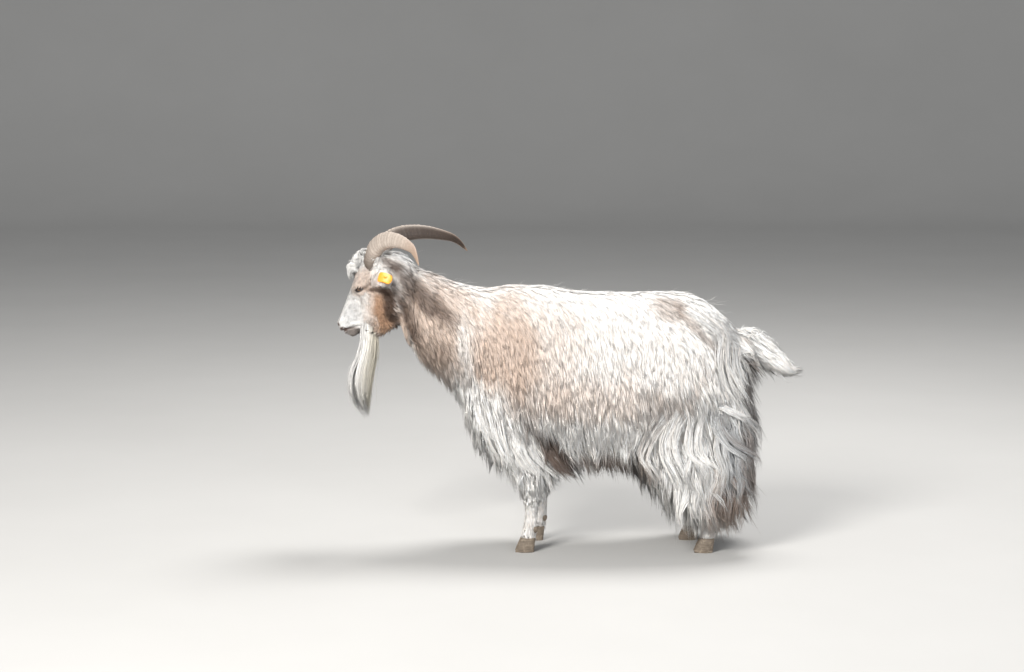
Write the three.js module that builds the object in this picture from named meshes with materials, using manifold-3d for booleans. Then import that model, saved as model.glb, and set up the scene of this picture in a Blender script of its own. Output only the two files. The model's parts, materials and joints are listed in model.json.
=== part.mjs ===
// A long-haired billy goat standing still, life size, in millimetres.
// +Z is up, the head is at -X and the goat's left side is at -Y.
// Every solid is the outside of the coat. The body is one smooth field, meshed a part at a time
// and parted by thin cuts. Horns, eyes, ears, claws and the ear tag are lofted pieces of their own.
import * as THREE from "three";
import { mergeVertices } from "three/addons/utils/BufferGeometryUtils.js";
import Module from "manifold-3d";

const wasm = await Module();
wasm.setup();

// ---- driving dimensions -------------------------------------------------------------------
const GAP = 0.3; // left between two solids that meet
const HEAD_YAW = -15; // degrees about +Z: the face is turned to the goat's right
const HEAD_PITCH = 54.5; // degrees that the line from poll to lips points below the horizontal
const POLL = [-468, 20, 755]; // top of the head between the horns' roots
const EYE_RADIUS = 13.5;
const EYE_AT = { x: 81, y: 42, z: 1 }; // in the head's own frame, mirrored for the right eye
const HORN_ROOT = { x: -26, y: 25, z: 4 }; // from the poll, before the head's pitch
const HORN_DEEP = 25.5; // half of the horn's broad way at its root
const HORN_FLAT = 0.64; // narrow way over broad way
const HORN_SPAN = { left: 0.97, right: 1.08 }; // the right horn is the longer one
const EAR_ROOT = { x: 16.5, y: 38, z: -9 };
const EAR_LENGTH = 80;
const EAR_WIDE = 28.5; // half-width, with its hair
const EAR_THICK = 4.5; // half-thickness, with its hair
const HOOF_HEIGHT = 34;
const CLAW_LENGTH = 50;
const CLAW_WIDE = 21;
const CLAW_SPLIT = 3; // open cleft between the two claws of a foot
const TAG = { lift: 1.3, thick: 2.2, post: 3, button: 11 };

const rad = THREE.MathUtils.degToRad;
const point = (x, y, z) => new THREE.Vector3(x, y, z);
const SIDES = { left: -1, right: 1 };

// ---- signed distances, negative inside ----------------------------------------------------
// First-order distance to an ellipse or ellipsoid, from offsets and half-sizes.
function elliptic(offsets, halves) {
  let q2 = 0;
  let slope2 = 0;
  offsets.forEach((o, i) => {
    q2 += (o / halves[i]) ** 2;
    slope2 += (o / halves[i] ** 2) ** 2;
  });
  const q = Math.sqrt(q2);
  return slope2 < 1e-12 ? -Math.min(...halves) : ((q - 1) * q) / Math.sqrt(slope2);
}

const ellipsoid = (x, y, z, rx, ry, rz) => (p) =>
  elliptic([p.x - x, p.y - y, p.z - z], [rx, ry, rz]);

// The values of a list of stations [at, ...values] at s, on smooth curves between them.
function between(stations, s) {
  const last = stations.length - 2;
  let i = 0;
  while (i < last && s > stations[i + 1][0]) i++;
  const from = stations[i];
  const to = stations[i + 1];
  const before = stations[Math.max(0, i - 1)];
  const after = stations[Math.min(last + 1, i + 2)];
  const span = to[0] - from[0];
  const t = THREE.MathUtils.clamp((s - from[0]) / span, 0, 1);
  return from.slice(1).map((value, n) => {
    const m0 = ((to[n + 1] - before[n + 1]) / (to[0] - before[0])) * span;
    const m1 = ((after[n + 1] - value) / (after[0] - from[0])) * span;
    const rise = to[n + 1] - value;
    return value + t * (m0 + t * (3 * rise - 2 * m0 - m1 + t * (m0 + m1 - 2 * rise)));
  });
}

// A form given by its slices: at each station [at, deep0, wide0, deep, wide] an ellipse with that
// middle and those half-sizes. view turns a point into [along, deep way, wide way]. cap is how far
// both ends are rounded, and egg narrows a slice towards its high deep side.
function slices(view, stations, cap, egg = 0) {
  const low = stations[0][0];
  const high = stations[stations.length - 1][0];
  return (p) => {
    const [along, u, v] = view(p);
    const [u0, v0, deep, wide] = between(stations, along);
    const past = Math.max(low - along, along - high, 0);
    const lift = THREE.MathUtils.clamp((u - u0) / deep, -1, 1);
    return elliptic([u - u0, v - v0, past], [deep, wide * (1 - egg * lift), cap]);
  };
}

const alongX = (p) => [p.x, p.z, p.y];
const downZ = (p) => [-p.z, p.x, p.y];

function blend(a, b, k) {
  const h = Math.max(k - Math.abs(a - b), 0) / k;
  return Math.min(a, b) - (h * h * k) / 4;
}

const joined = (k, forms) => (p) => forms.reduce((d, f) => blend(d, f(p), k), Infinity);

// ---- the head -------------------------------------------------------------------------------
// turned: the frame of the horns and ears, at the poll. head: the same, pitched, with x from poll
// to lips, y to the goat's left and z out of the forehead.
const turned = new THREE.Matrix4()
  .makeRotationZ(rad(HEAD_YAW))
  .setPosition(...POLL);
const [sink, reach] = [Math.sin(rad(HEAD_PITCH)), Math.cos(rad(HEAD_PITCH))];
const head = turned
  .clone()
  .multiply(
    new THREE.Matrix4().makeBasis(point(-reach, 0, -sink), point(0, -1, 0), point(-sink, 0, reach)),
  );
const intoHead = head.clone().invert();

function skullForms() {
  const skull = slices(
    alongX,
    [
      [-18, -20, 0, 40, 42],
      [18, -2, 0, 46, 52],
      [58, 2, 0, 43, 54],
      [95, -5, 0, 38, 46],
      [130, -8, 0, 33, 35],
      [165, -11, 0, 29, 28],
      [190, -13, 0, 26, 28],
      [203, -16, 0, 19, 24],
    ],
    13,
  );
  const jaw = slices(
    alongX,
    [
      [30, -62, 0, 38, 38],
      [80, -66, 0, 37, 37],
      [122, -58, 0, 30, 31],
      [160, -47, 0, 21, 24],
      [190, -43, 0, 13, 19],
      [200, -40, 0, 9, 14],
    ],
    10,
  );
  const pair = (x, y, z, rx, ry, rz) => [-1, 1].map((s) => ellipsoid(x, s * y, z, rx, ry, rz));
  return {
    bones: joined(16, [skull, jaw]),
    fleshes: joined(12, [
      ...pair(79, 44, 8, 23, 11, 16), // brow and orbit
      ...pair(92, 36, -28, 34, 15, 22), // cheek under the eye
      ...pair(66, 34, -58, 36, 20, 40), // jaw muscle
      ...pair(196, 15, -4, 14, 11, 13), // wing of the nostril
      ellipsoid(199, 0, -20, 13, 21, 15), // upper lip
      ellipsoid(38, 0, 47, 35, 34, 27), // forelock
    ]),
    hollows: [
      ...pair(206, 15, -3, 7, 3.5, 5), // nostril
      ...pair(99, 54, 0, 16, 8, 9), // hollow in front of the eye
    ],
  };
}

const skullParts = skullForms();
function headField(p) {
  const q = p.clone().applyMatrix4(intoHead);
  const solid = blend(skullParts.bones(q), skullParts.fleshes(q), 14);
  return skullParts.hollows.reduce((d, hollow) => -blend(-d, hollow(q), 5), solid);
}

// ---- trunk, neck, legs, tail and beard ------------------------------------------------------
// Trunk and tail: [x, z, y, half height, half width].
const TRUNK = [
  [-206, 480, 0, 142, 92],
  [-150, 476, 0, 212, 134],
  [-60, 491, 0, 210, 152],
  [40, 473, 0, 214, 165],
  [130, 460, 0, 223, 170],
  [212, 461, 0, 222, 168],
  [300, 472, 0, 213, 160],
  [371, 480, 0, 190, 147],
  [424, 474, 0, 150, 126],
  [462, 468, 0, 116, 100],
];
const TAIL = [
  [440, 548, 0, 40, 38],
  [503, 545, 0, 39, 35],
  [543, 519, -1, 31, 31],
  [570, 501, -2, 29, 28],
  [592, 487, -3, 28, 24],
  [618, 477, -4, 16, 14],
  [644, 473, -5, 6, 6],
];
// The neck lies along its own axis, from NECK_FOOT towards the head.
const NECK_FOOT = [-200, 0, 560];
const NECK_RISE = 27.5; // degrees above the horizontal
const NECK = [
  [-70, -22, 0, 150, 112],
  [0, -12, 0, 150, 116],
  [50, -14, 2, 137, 104],
  [100, -16, 4, 123, 92],
  [155, -14, 6, 113, 80],
  [212, -5, 11, 100, 66],
  [250, 0, 15, 88, 56],
  [285, 2, 17, 70, 48],
  [312, 4, 18, 50, 38],
];
const neckAxis = new THREE.Matrix4()
  .makeRotationY(rad(NECK_RISE))
  .setPosition(...NECK_FOOT)
  .invert();
const alongNeck = (p) => {
  const q = p.clone().applyMatrix4(neckAxis);
  return [-q.x, q.z, q.y];
};
const trunkForm = slices(alongX, TRUNK, 34, 0.16);
const neckForm = slices(alongNeck, NECK, 24, 0.1);
const brisketForm = ellipsoid(-180, 0, 374, 74, 90, 104);
const tailForm = slices(alongX, TAIL, 9);

// Each leg runs down a list of [minus z, x, y, half length, half width] for the left side.
// along moves a foot and its leg along the body.
const FORELEG = [
  [-430, -182, 72, 78, 50],
  [-380, -182, 76, 82, 56],
  [-336, -163, 78, 78, 56],
  [-284, -132, 78, 74, 52],
  [-238, -103, 76, 56, 44],
  [-198, -84, 75, 36, 34],
  [-168, -78, 74, 29, 28],
  [-128, -76, 73, 22, 21],
  [-92, -76, 72, 19, 18.5],
  [-66, -79, 72, 23, 21],
  [-46, -85, 72, 21.5, 20.5],
  [-34, -89, 72, 22.5, 21],
  [-22, -90, 72, 22.5, 21],
];
const HINDLEG = [
  [-430, 340, 80, 150, 56],
  [-355, 356, 86, 158, 70],
  [-300, 356, 89, 152, 72],
  [-249, 352, 90, 160, 72],
  [-208, 356, 89, 142, 67],
  [-180, 376, 89, 112, 60],
  [-150, 392, 86, 86, 50],
  [-124, 397, 83, 54, 40],
  [-100, 400, 80, 34, 31],
  [-76, 398, 78, 26, 25],
  [-58, 392, 77, 24.5, 22],
  [-44, 386, 77, 23, 21],
  [-34, 382, 77, 23, 21],
  [-22, 381, 77, 23, 21],
];
// Long hair hangs behind each elbow.
const ELBOW_FRINGE = [
  [-340, -40, 74, 66, 32],
  [-280, -22, 73, 60, 29],
  [-235, -10, 71, 50, 25],
  [-205, 6, 70, 36, 21],
  [-184, 20, 68, 18, 15],
];
const FEET = {
  fore_left: { stations: FORELEG, fringe: ELBOW_FRINGE, side: SIDES.left, along: 0 },
  fore_right: { stations: FORELEG, fringe: ELBOW_FRINGE, side: SIDES.right, along: 26 },
  hind_left: { stations: HINDLEG, side: SIDES.left, along: 0 },
  hind_right: { stations: HINDLEG, side: SIDES.right, along: -30 },
};
const LEG_TOP = 420; // above this height a leg doesn't shift along the body
const LEG_LOW = 120; // and below this it shifts whole

function legForm({ stations, fringe, side, along }) {
  const mirrored = ([depth, x, y, deep, wide]) => [depth, x, side * y, deep, wide];
  const shifted = ([depth, x, ...rest]) => [
    depth,
    x + along * THREE.MathUtils.smoothstep(depth, -LEG_TOP, -LEG_LOW),
    ...rest,
  ];
  const leg = slices(downZ, stations.map(mirrored).map(shifted), 10);
  return fringe ? joined(22, [leg, slices(downZ, fringe.map(mirrored), 12)]) : leg;
}

// The beard hangs down: [minus z, x, y, half length, half width].
const BEARD = [
  [-604, -511, 30, 24, 20],
  [-572, -514, 30, 25, 23],
  [-525, -517, 30, 27, 25],
  [-482, -525, 30, 36, 26],
  [-438, -526, 29, 33, 23],
  [-395, -525, 28, 23, 17],
  [-362, -523, 27, 10, 8],
];
const beardForm = slices(downZ, BEARD, 10);

const HEAD_REACH = -330; // behind this x no part of the head shapes the body
const legForms = Object.values(FEET).map(legForm);
function torsoField(p) {
  const torso = blend(trunkForm(p), neckForm(p), 60);
  const fore = blend(torso, brisketForm(p), 40);
  return legForms.reduce((d, leg) => blend(d, leg(p), 30), fore);
}

function bodyField(p) {
  const withTail = blend(torsoField(p), tailForm(p), 22);
  const withHead = p.x < HEAD_REACH ? blend(withTail, headField(p), 30) : withTail;
  return p.x < HEAD_REACH ? blend(withHead, beardForm(p), 16) : withHead;
}

// ---- from fields and rings to solids ------------------------------------------------------
function solid(vertices, triangles) {
  const vertProperties = new Float32Array(vertices.flat());
  const triVerts = new Uint32Array(triangles.flat());
  return new wasm.Manifold(new wasm.Mesh({ numProp: 3, vertProperties, triVerts }));
}

function slope(field, v) {
  const step = 0.5;
  const along = (axis) => {
    const more = v.clone();
    const less = v.clone();
    more[axis] += step;
    less[axis] -= step;
    return (field(more) - field(less)) / (2 * step);
  };
  return point(along("x"), along("y"), along("z"));
}

// Meshes a field inside a box, one vertex to each cell that the surface crosses.
const SETTLE = 5; // rounds in which each vertex is drawn onto the surface
const MOST = 14; // and the most that it is drawn in one of them
function netOf(field, low, high, cell) {
  const count = low.map((l, i) => Math.ceil((high[i] - l) / cell[i]) + 1);
  const at = (i, j, k) => (k * count[1] + j) * count[0] + i;
  const place = (i, j, k) => point(low[0] + i * cell[0], low[1] + j * cell[1], low[2] + k * cell[2]);
  const value = new Float64Array(count[0] * count[1] * count[2]);
  const edge = (n, axis) => n === 0 || n === count[axis] - 1;
  const cells = [];
  for (let k = 0; k < count[2]; k++)
    for (let j = 0; j < count[1]; j++)
      for (let i = 0; i < count[0]; i++) {
        const rim = edge(i, 0) || edge(j, 1) || edge(k, 2);
        value[at(i, j, k)] = rim ? 1 : field(place(i, j, k));
        if (i && j && k) cells.push([i - 1, j - 1, k - 1]);
      }
  const corners = [0, 1, 2, 3, 4, 5, 6, 7].map((n) => [n & 1, (n >> 1) & 1, (n >> 2) & 1]);
  const pairs = corners.flatMap((c, n) =>
    [1, 2, 4].filter((bit) => !(n & bit)).map((bit) => [c, corners[n | bit]]),
  );
  const vertexOf = new Map();
  const vertices = [];
  for (const [i, j, k] of cells) {
    const middle = point(0, 0, 0);
    let crossings = 0;
    for (const [a, b] of pairs) {
      const va = value[at(i + a[0], j + a[1], k + a[2])];
      const vb = value[at(i + b[0], j + b[1], k + b[2])];
      if (va < 0 === vb < 0) continue;
      const from = place(i + a[0], j + a[1], k + a[2]);
      middle.add(from.lerp(place(i + b[0], j + b[1], k + b[2]), va / (va - vb)));
      crossings++;
    }
    if (!crossings) continue;
    middle.divideScalar(crossings);
    vertexOf.set(at(i, j, k), vertices.length);
    vertices.push(middle);
  }
  for (let round = 0; round < SETTLE; round++)
    for (const v of vertices) {
      const g = slope(field, v);
      const move = THREE.MathUtils.clamp(field(v) / Math.max(g.lengthSq(), 0.2), -MOST, MOST);
      v.addScaledVector(g, -0.7 * move);
    }
  const triangles = [];
  const faces = [
    { bit: [1, 0, 0], u: [0, 1, 0], v: [0, 0, 1] },
    { bit: [0, 1, 0], u: [0, 0, 1], v: [1, 0, 0] },
    { bit: [0, 0, 1], u: [1, 0, 0], v: [0, 1, 0] },
  ];
  for (let k = 0; k < count[2] - 1; k++)
    for (let j = 0; j < count[1] - 1; j++)
      for (let i = 0; i < count[0] - 1; i++)
        for (const { bit, u, v } of faces) {
          const inside = value[at(i, j, k)] < 0;
          const next = value[at(i + bit[0], j + bit[1], k + bit[2])] < 0;
          if (inside === next) continue;
          const quad = [
            [0, 0],
            [1, 0],
            [1, 1],
            [0, 1],
          ].map(([a, b]) =>
            vertexOf.get(
              at(i - a * u[0] - b * v[0], j - a * u[1] - b * v[1], k - a * u[2] - b * v[2]),
            ),
          );
          const [p, q, r, s] = inside ? quad : quad.reverse();
          const short = vertices[p].distanceTo(vertices[r]) < vertices[q].distanceTo(vertices[s]);
          triangles.push(...(short ? [[p, q, r], [p, r, s]] : [[p, q, s], [q, r, s]]));
        }
  return solid(vertices.map((v) => v.toArray()), triangles);
}

// Rings of equal length, skinned from the first to the last, with a fan over each end.
function loft(rings) {
  const n = rings[0].length;
  const vertices = rings.flat().map((v) => v.toArray());
  const triangles = [];
  for (let i = 0; i + 1 < rings.length; i++)
    for (let j = 0; j < n; j++) {
      const [a, b] = [i * n + j, i * n + ((j + 1) % n)];
      triangles.push([a, b, b + n], [a, b + n, a + n]);
    }
  [0, rings.length - 1].forEach((end) => {
    const middle = rings[end].reduce((s, v) => s.add(v), point(0, 0, 0)).divideScalar(n);
    const hub = vertices.push(middle.toArray()) - 1;
    for (let j = 0; j < n; j++) {
      const pair = [end * n + j, end * n + ((j + 1) % n)];
      triangles.push(end === 0 ? [pair[1], pair[0], hub] : [pair[0], pair[1], hub]);
    }
  });
  const made = solid(vertices, triangles);
  return made.volume() > 0 ? made : solid(vertices, triangles.map(([a, b, c]) => [a, c, b]));
}

function solidOf(geometry, matrix = new THREE.Matrix4()) {
  const bare = geometry.clone().applyMatrix4(matrix);
  bare.deleteAttribute("normal");
  bare.deleteAttribute("uv");
  const merged = mergeVertices(bare, 1e-3);
  const vertices = Array.from(merged.attributes.position.array);
  return new wasm.Manifold(
    new wasm.Mesh({
      numProp: 3,
      vertProperties: new Float32Array(vertices),
      triVerts: new Uint32Array(merged.index.array),
    }),
  );
}

// A convex region is a list of [point, outward normal]; grow moves its walls outwards.
const FAR = 1800;
function region(walls, grow) {
  return walls
    .map(([at, out]) => {
      const normal = out.clone().normalize();
      const turn = new THREE.Quaternion().setFromUnitVectors(point(0, 0, 1), normal);
      const middle = at.clone().addScaledVector(normal, grow - FAR / 2);
      return solidOf(
        new THREE.BoxGeometry(2 * FAR, 2 * FAR, FAR),
        new THREE.Matrix4().compose(middle, turn, point(1, 1, 1)),
      );
    })
    .reduce((a, b) => a.intersect(b));
}

// ---- where the body is parted -------------------------------------------------------------
// Walls in the XZ plane are given by two points; the region lies to the left of that line.
const wall = ([x0, z0], [x1, z1]) => [point(x0, 0, z0), point(z1 - z0, 0, x0 - x1)];
const WALLS = {
  headBack: wall([-449, 340], [-418, 800]),
  neckBack: wall([-278, 372], [-151, 720]),
  tailRoot: wall([456, 640], [450, 500]),
  tailBelow: wall([450, 513], [650, 413]),
  foreTop: wall([35, 250], [-245, 330]),
  foreBack: wall([80, 0], [80, 300]),
  hindTop: wall([530, 420], [200, 235]),
  hindFront: wall([186, 320], [178, 0]),
};
const flipped = ([at, out]) => [at, out.clone().negate()];
const sideWall = (side) => [point(0, 0, 0), point(0, -side, 0)];
const below = (z) => [point(0, 0, z), point(0, 0, 1)];
const above = (z) => [point(0, 0, z), point(0, 0, -1)];
const onHead = (at, out) => [
  point(...at).applyMatrix4(head),
  point(...out).transformDirection(head),
];

const BEARD_ROOT = 568;
const REGIONS = {
  head: [WALLS.headBack],
  neck: [flipped(WALLS.headBack), WALLS.neckBack],
  trunk: [flipped(WALLS.neckBack)],
  tail: [WALLS.tailRoot, WALLS.tailBelow],
  beard: [below(BEARD_ROOT), above(300), [point(-465, 0, 0), point(1, 0, 0)]],
  forelock: [
    onHead([46, 0, 47], [0, 0, -1]),
    onHead([92, 0, 0], [1, 0, 0]),
    onHead([0, 0, 0], [-1, 0, 0]),
  ],
};
const KNEE = 172;
const HOCK = 168;
for (const [name, { side }] of Object.entries(FEET)) {
  const fore = name.startsWith("fore");
  const bounds = fore ? [WALLS.foreTop, WALLS.foreBack] : [WALLS.hindTop, WALLS.hindFront];
  const joint = fore ? KNEE : HOCK;
  REGIONS[name] = [...bounds, sideWall(side)];
  REGIONS[name + "_upper"] = [...REGIONS[name], above(joint)];
  REGIONS[name + "_shank"] = [...REGIONS[name], below(joint), above(HOOF_HEIGHT)];
}

const inside = (name) => region(REGIONS[name], -GAP / 2);
const outside = (name) => region(REGIONS[name], GAP / 2);

// ---- horns ----------------------------------------------------------------------------------
// Centre line from the root: [back, out, up].
const HORN_LINE = [
  [3, -3, -22],
  [0, 0, 0],
  [15, 9, 33],
  [48, 28, 58],
  [98, 61, 64],
  [149, 105, 52],
  [169, 132, 38],
  [187, 158, 12],
];
const HORN_HUB = [80, 60, -60]; // the keel points away from here
const HORN_RINGS = 18;
const HORN_POINTS = 10;

function hornRings(name, grow) {
  const side = SIDES[name];
  const span = HORN_SPAN[name];
  const from = point(HORN_ROOT.x, side * HORN_ROOT.y, HORN_ROOT.z);
  const place = ([back, out, up]) => point(back, side * out, up).multiplyScalar(span).add(from);
  const line = new THREE.CatmullRomCurve3(HORN_LINE.map(place));
  const centre = place(HORN_HUB);
  return Array.from({ length: HORN_RINGS + 1 }, (_, i) => {
    const t = i / HORN_RINGS;
    const ahead = line.getTangentAt(t);
    const at = line.getPointAt(t).addScaledVector(ahead, i === 0 ? -grow : 0);
    const keel = at.clone().sub(centre);
    keel.addScaledVector(ahead, -keel.dot(ahead)).normalize();
    const aside = keel.clone().cross(ahead).normalize();
    const deep = HORN_DEEP * (1 - t ** 1.9) ** 0.8 * (1 - 0.12 * t) + 0.8 + grow;
    return Array.from({ length: HORN_POINTS }, (_, j) => {
      const a = (2 * Math.PI * j) / HORN_POINTS;
      const sharp = 1 + 0.1 * Math.cos(a); // the front edge is drawn out into a keel
      const u = deep * sharp * Math.cos(a);
      const v = (HORN_FLAT * deep + grow) * (1 - 0.28 * Math.cos(a)) * Math.sin(a);
      return at.clone().addScaledVector(keel, u).addScaledVector(aside, v).applyMatrix4(turned);
    });
  });
}
const horn = (name, grow = 0) => loft(hornRings(name, grow));

// ---- ears and tag -----------------------------------------------------------------------------
// Along the ear, across it and out of its back, for one side, in the turned frame.
function earAxes(side) {
  const along = point(0.1, side * 0.84, -0.46).normalize();
  const out = point(0.05, side * 0.55, 0.8);
  out.addScaledVector(along, -out.dot(along)).normalize();
  return { along, out, across: out.clone().cross(along).normalize() };
}

const EAR_RINGS = 9;
const EAR_POINTS = 5;
const earHalf = (t) => EAR_WIDE * (0.45 + 1.5 * t) * Math.sqrt(1 - Math.max(0, t) ** 2.4) * 0.86;

// A point of the ear: t along it, s across from -1 to 1, rise out of its back.
function earPoint(side, t, s, rise) {
  const { along, across, out } = earAxes(side);
  const fold = 1.3 * (1 - 0.2 * t); // radians from the middle to an edge
  const half = Math.max(earHalf(t), 1.2);
  const radius = half / Math.sin(fold);
  const at = point(EAR_ROOT.x, side * EAR_ROOT.y, EAR_ROOT.z);
  at.addScaledVector(along, EAR_LENGTH * t - 12 * (1 - t));
  at.addScaledVector(across, (radius + rise) * Math.sin(fold * s));
  at.addScaledVector(out, (radius + rise) * Math.cos(fold * s) - radius);
  return at;
}

function ear(side, grow = 0) {
  const rings = Array.from({ length: EAR_RINGS }, (_, i) => {
    const t = (0.985 * i) / (EAR_RINGS - 1) - (i === 0 ? grow / EAR_LENGTH : 0);
    const thick = EAR_THICK * (1 - 0.55 * t) + grow;
    const wider = 1 + grow / EAR_WIDE;
    const row = (rise) =>
      Array.from({ length: EAR_POINTS }, (_, j) =>
        earPoint(side, t, wider * ((2 * j) / (EAR_POINTS - 1) - 1), rise).applyMatrix4(turned),
      );
    return [...row(thick), ...row(-thick).reverse()];
  });
  return loft(rings);
}

// The tag is a bent plate that follows the back of the left ear, from t to t and s to s.
const TAG_SPAN = { t: [0.45, 0.9], s: [-0.16, 0.78] };
const TAG_POST_AT = { t: 0.66, s: 0.3 };
const TAG_COLUMNS = 5;
const TAG_ROWS = 3;
function tagPlate() {
  const [t0, t1] = TAG_SPAN.t;
  const [s0, s1] = TAG_SPAN.s;
  const lift = EAR_THICK + TAG.lift;
  const rings = Array.from({ length: TAG_ROWS + 1 }, (_, i) => {
    const t = t0 + ((t1 - t0) * i) / TAG_ROWS;
    const row = (rise) =>
      Array.from({ length: TAG_COLUMNS + 1 }, (_, j) =>
        earPoint(SIDES.left, t, s0 + ((s1 - s0) * j) / TAG_COLUMNS, rise).applyMatrix4(turned),
      );
    return [...row(lift + TAG.thick), ...row(lift).reverse()];
  });
  return loft(rings);
}

// The frame of the tag's post: x along the ear, z out of the ear's back.
function postFrame() {
  const { t, s } = TAG_POST_AT;
  const at = earPoint(SIDES.left, t, s, 0);
  const { along } = earAxes(SIDES.left);
  const out = earPoint(SIDES.left, t, s, 1).sub(at).normalize();
  const side = out.clone().cross(along);
  return turned.clone().multiply(new THREE.Matrix4().makeBasis(along, side, out).setPosition(at));
}

const post = (radius, from, to) =>
  new THREE.CylinderGeometry(radius, radius, to - from, 10)
    .rotateX(Math.PI / 2)
    .translate(0, 0, (from + to) / 2);

// ---- feet ---------------------------------------------------------------------------------------
// One claw is a stack of D-shaped rings, flat at the sole, leaning back towards the coronet.
const CLAW_LEVELS = [
  { z: 0, long: 1, wide: 1, back: 0 },
  { z: 0.3, long: 0.95, wide: 1.03, back: 2.5 },
  { z: 0.65, long: 0.86, wide: 1.0, back: 6 },
  { z: 1, long: 0.78, wide: 0.94, back: 9.5 },
];
const CLAW_POINTS = 10;
const footAt = ({ stations, side, along }) => {
  const [, x, y] = stations[stations.length - 1];
  return { x: x + along, y: side * y };
};

function claw(foot, lateral) {
  const { x, y } = footAt(foot);
  const rings = CLAW_LEVELS.map(({ z, long, wide, back }) =>
    Array.from({ length: CLAW_POINTS }, (_, j) => {
      const a = (2 * Math.PI * j) / CLAW_POINTS;
      const toe = Math.max(0, -Math.cos(a));
      const u = (CLAW_LENGTH / 2) * long * Math.cos(a);
      const v = (CLAW_WIDE / 2) * wide * Math.sin(a) * (1 - 0.3 * toe);
      const apart = lateral * (CLAW_SPLIT / 2 + CLAW_WIDE / 2 - 0.3);
      return point(x - 4 + back + u, y + apart + v, z * (HOOF_HEIGHT - GAP));
    }),
  );
  return loft(rings);
}

const DEWCLAW = { x: 27, y: 11, z: 60, rx: 9, ry: 6.5, rz: 9 };
function dewclaw(foot, lateral, grow = 0) {
  const { x, y } = footAt(foot);
  const ball = new THREE.IcosahedronGeometry(1, 0);
  const place = new THREE.Matrix4()
    .makeTranslation(x + DEWCLAW.x, y + lateral * DEWCLAW.y, DEWCLAW.z)
    .multiply(new THREE.Matrix4().makeRotationY(rad(35)))
    .multiply(new THREE.Matrix4().makeScale(DEWCLAW.rx + grow, DEWCLAW.ry + grow, DEWCLAW.rz + grow));
  return solidOf(ball, place);
}

// ---- eyes ---------------------------------------------------------------------------------------
const eye = (side, grow = 0) =>
  solidOf(
    new THREE.SphereGeometry(EYE_RADIUS + grow, 10, 6),
    new THREE.Matrix4().makeTranslation(EYE_AT.x, -side * EYE_AT.y, EYE_AT.z).premultiply(head),
  );

// ---- materials and assembly -----------------------------------------------------------------
const finish = (color, roughness) => new THREE.MeshStandardMaterial({ color, roughness, metalness: 0 });
const LOOKS = {
  coat: finish(0xe9ded2, 0.9),
  horn: finish(0xb3a08c, 0.55),
  hoof: finish(0x4a4038, 0.6),
  eye: finish(0x1c130c, 0.1),
  tag: finish(0xe8b23a, 0.45),
};

const goat = new THREE.Group();
function put(name, made, look) {
  const mesh = made.getMesh();
  const geometry = new THREE.BufferGeometry();
  geometry.setAttribute("position", new THREE.BufferAttribute(new Float32Array(mesh.vertProperties), 3));
  geometry.setIndex(new THREE.BufferAttribute(new Uint32Array(mesh.triVerts), 1));
  const node = new THREE.Mesh(geometry, LOOKS[look]);
  node.name = name;
  goat.add(node);
}

// The largest body of a cut solid, without the slivers that the cuts leave.
const SLIVER = 0.03;
const largest = (made) =>
  made
    .decompose()
    .reduce((a, b) => (a.volume() > b.volume() ? a : b))
    .simplify(SLIVER);

// Trunk, neck and tail, each from its own net of the body's field.
const NETS = {
  trunk: { low: [-306, -210, 150], high: [530, 210, 740], cell: [50, 42, 44] },
  neck: { low: [-500, -150, 320], high: [-120, 160, 800], cell: [38, 33, 37] },
  head: { low: [-620, -80, 540], high: [-395, 150, 830], cell: [19, 17, 19] },
  beard: { low: [-590, -24, 330], high: [-460, 90, 600], cell: [18, 15, 25] },
  tail: { low: [440, -70, 420], high: [660, 70, 640], cell: [20, 18, 19] },
  foreUpper: { low: [-300, -180, 140], high: [110, 180, 380], cell: [31, 27, 30] },
  foreShank: { low: [-150, -150, 10], high: [20, 150, 200], cell: [19, 17.5, 26] },
  hindUpper: { low: [160, -200, 140], high: [550, 200, 440], cell: [43, 35, 39] },
  hindShank: { low: [230, -170, 10], high: [520, 170, 200], cell: [26, 19, 25] },
};
const net = (name, field = bodyField) =>
  netOf(field, NETS[name].low, NETS[name].high, NETS[name].cell);

const trunk = [...Object.keys(FEET), "tail"]
  .map(outside)
  .reduce((a, b) => a.subtract(b), net("trunk", torsoField).intersect(inside("trunk")));
put("trunk", largest(trunk), "coat");
put("neck", largest(net("neck").intersect(inside("neck"))), "coat");
put("tail", largest(net("tail").intersect(inside("tail"))), "coat");

const headNet = net("head").intersect(inside("head"));
let headSolid = headNet.subtract(outside("beard")).subtract(outside("forelock"));
const lockNet = headNet.intersect(inside("forelock"));
let forelock = lockNet;
for (const [name, side] of Object.entries(SIDES)) {
  headSolid = headSolid.subtract(horn(name, GAP)).subtract(ear(side, GAP)).subtract(eye(side, GAP));
  forelock = forelock.subtract(horn(name, GAP));
}
put("head", largest(headSolid), "coat");
put("forelock", largest(forelock), "coat");
put("beard", largest(net("beard").intersect(inside("beard"))), "coat");

const neckSolid = inside("neck");
for (const [name, side] of Object.entries(SIDES)) {
  put("horn_" + name, horn(name), "horn");
  put("eye_" + name, eye(side), "eye");
  const whole = ear(side).subtract(neckSolid);
  const pierced = whole.subtract(solidOf(post(TAG.post + GAP, -30, 30), postFrame()));
  put("ear_" + name, largest(side === SIDES.left ? pierced : whole), "coat");
}
const stud = solidOf(post(TAG.post, -EAR_THICK - 3, EAR_THICK + TAG.thick + 1.5), postFrame());
const button = solidOf(post(TAG.button, -EAR_THICK - 6, -EAR_THICK - 3 - GAP), postFrame());
put("ear_tag_plate", tagPlate().add(stud), "tag");
put("ear_tag_button", button, "tag");

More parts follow.
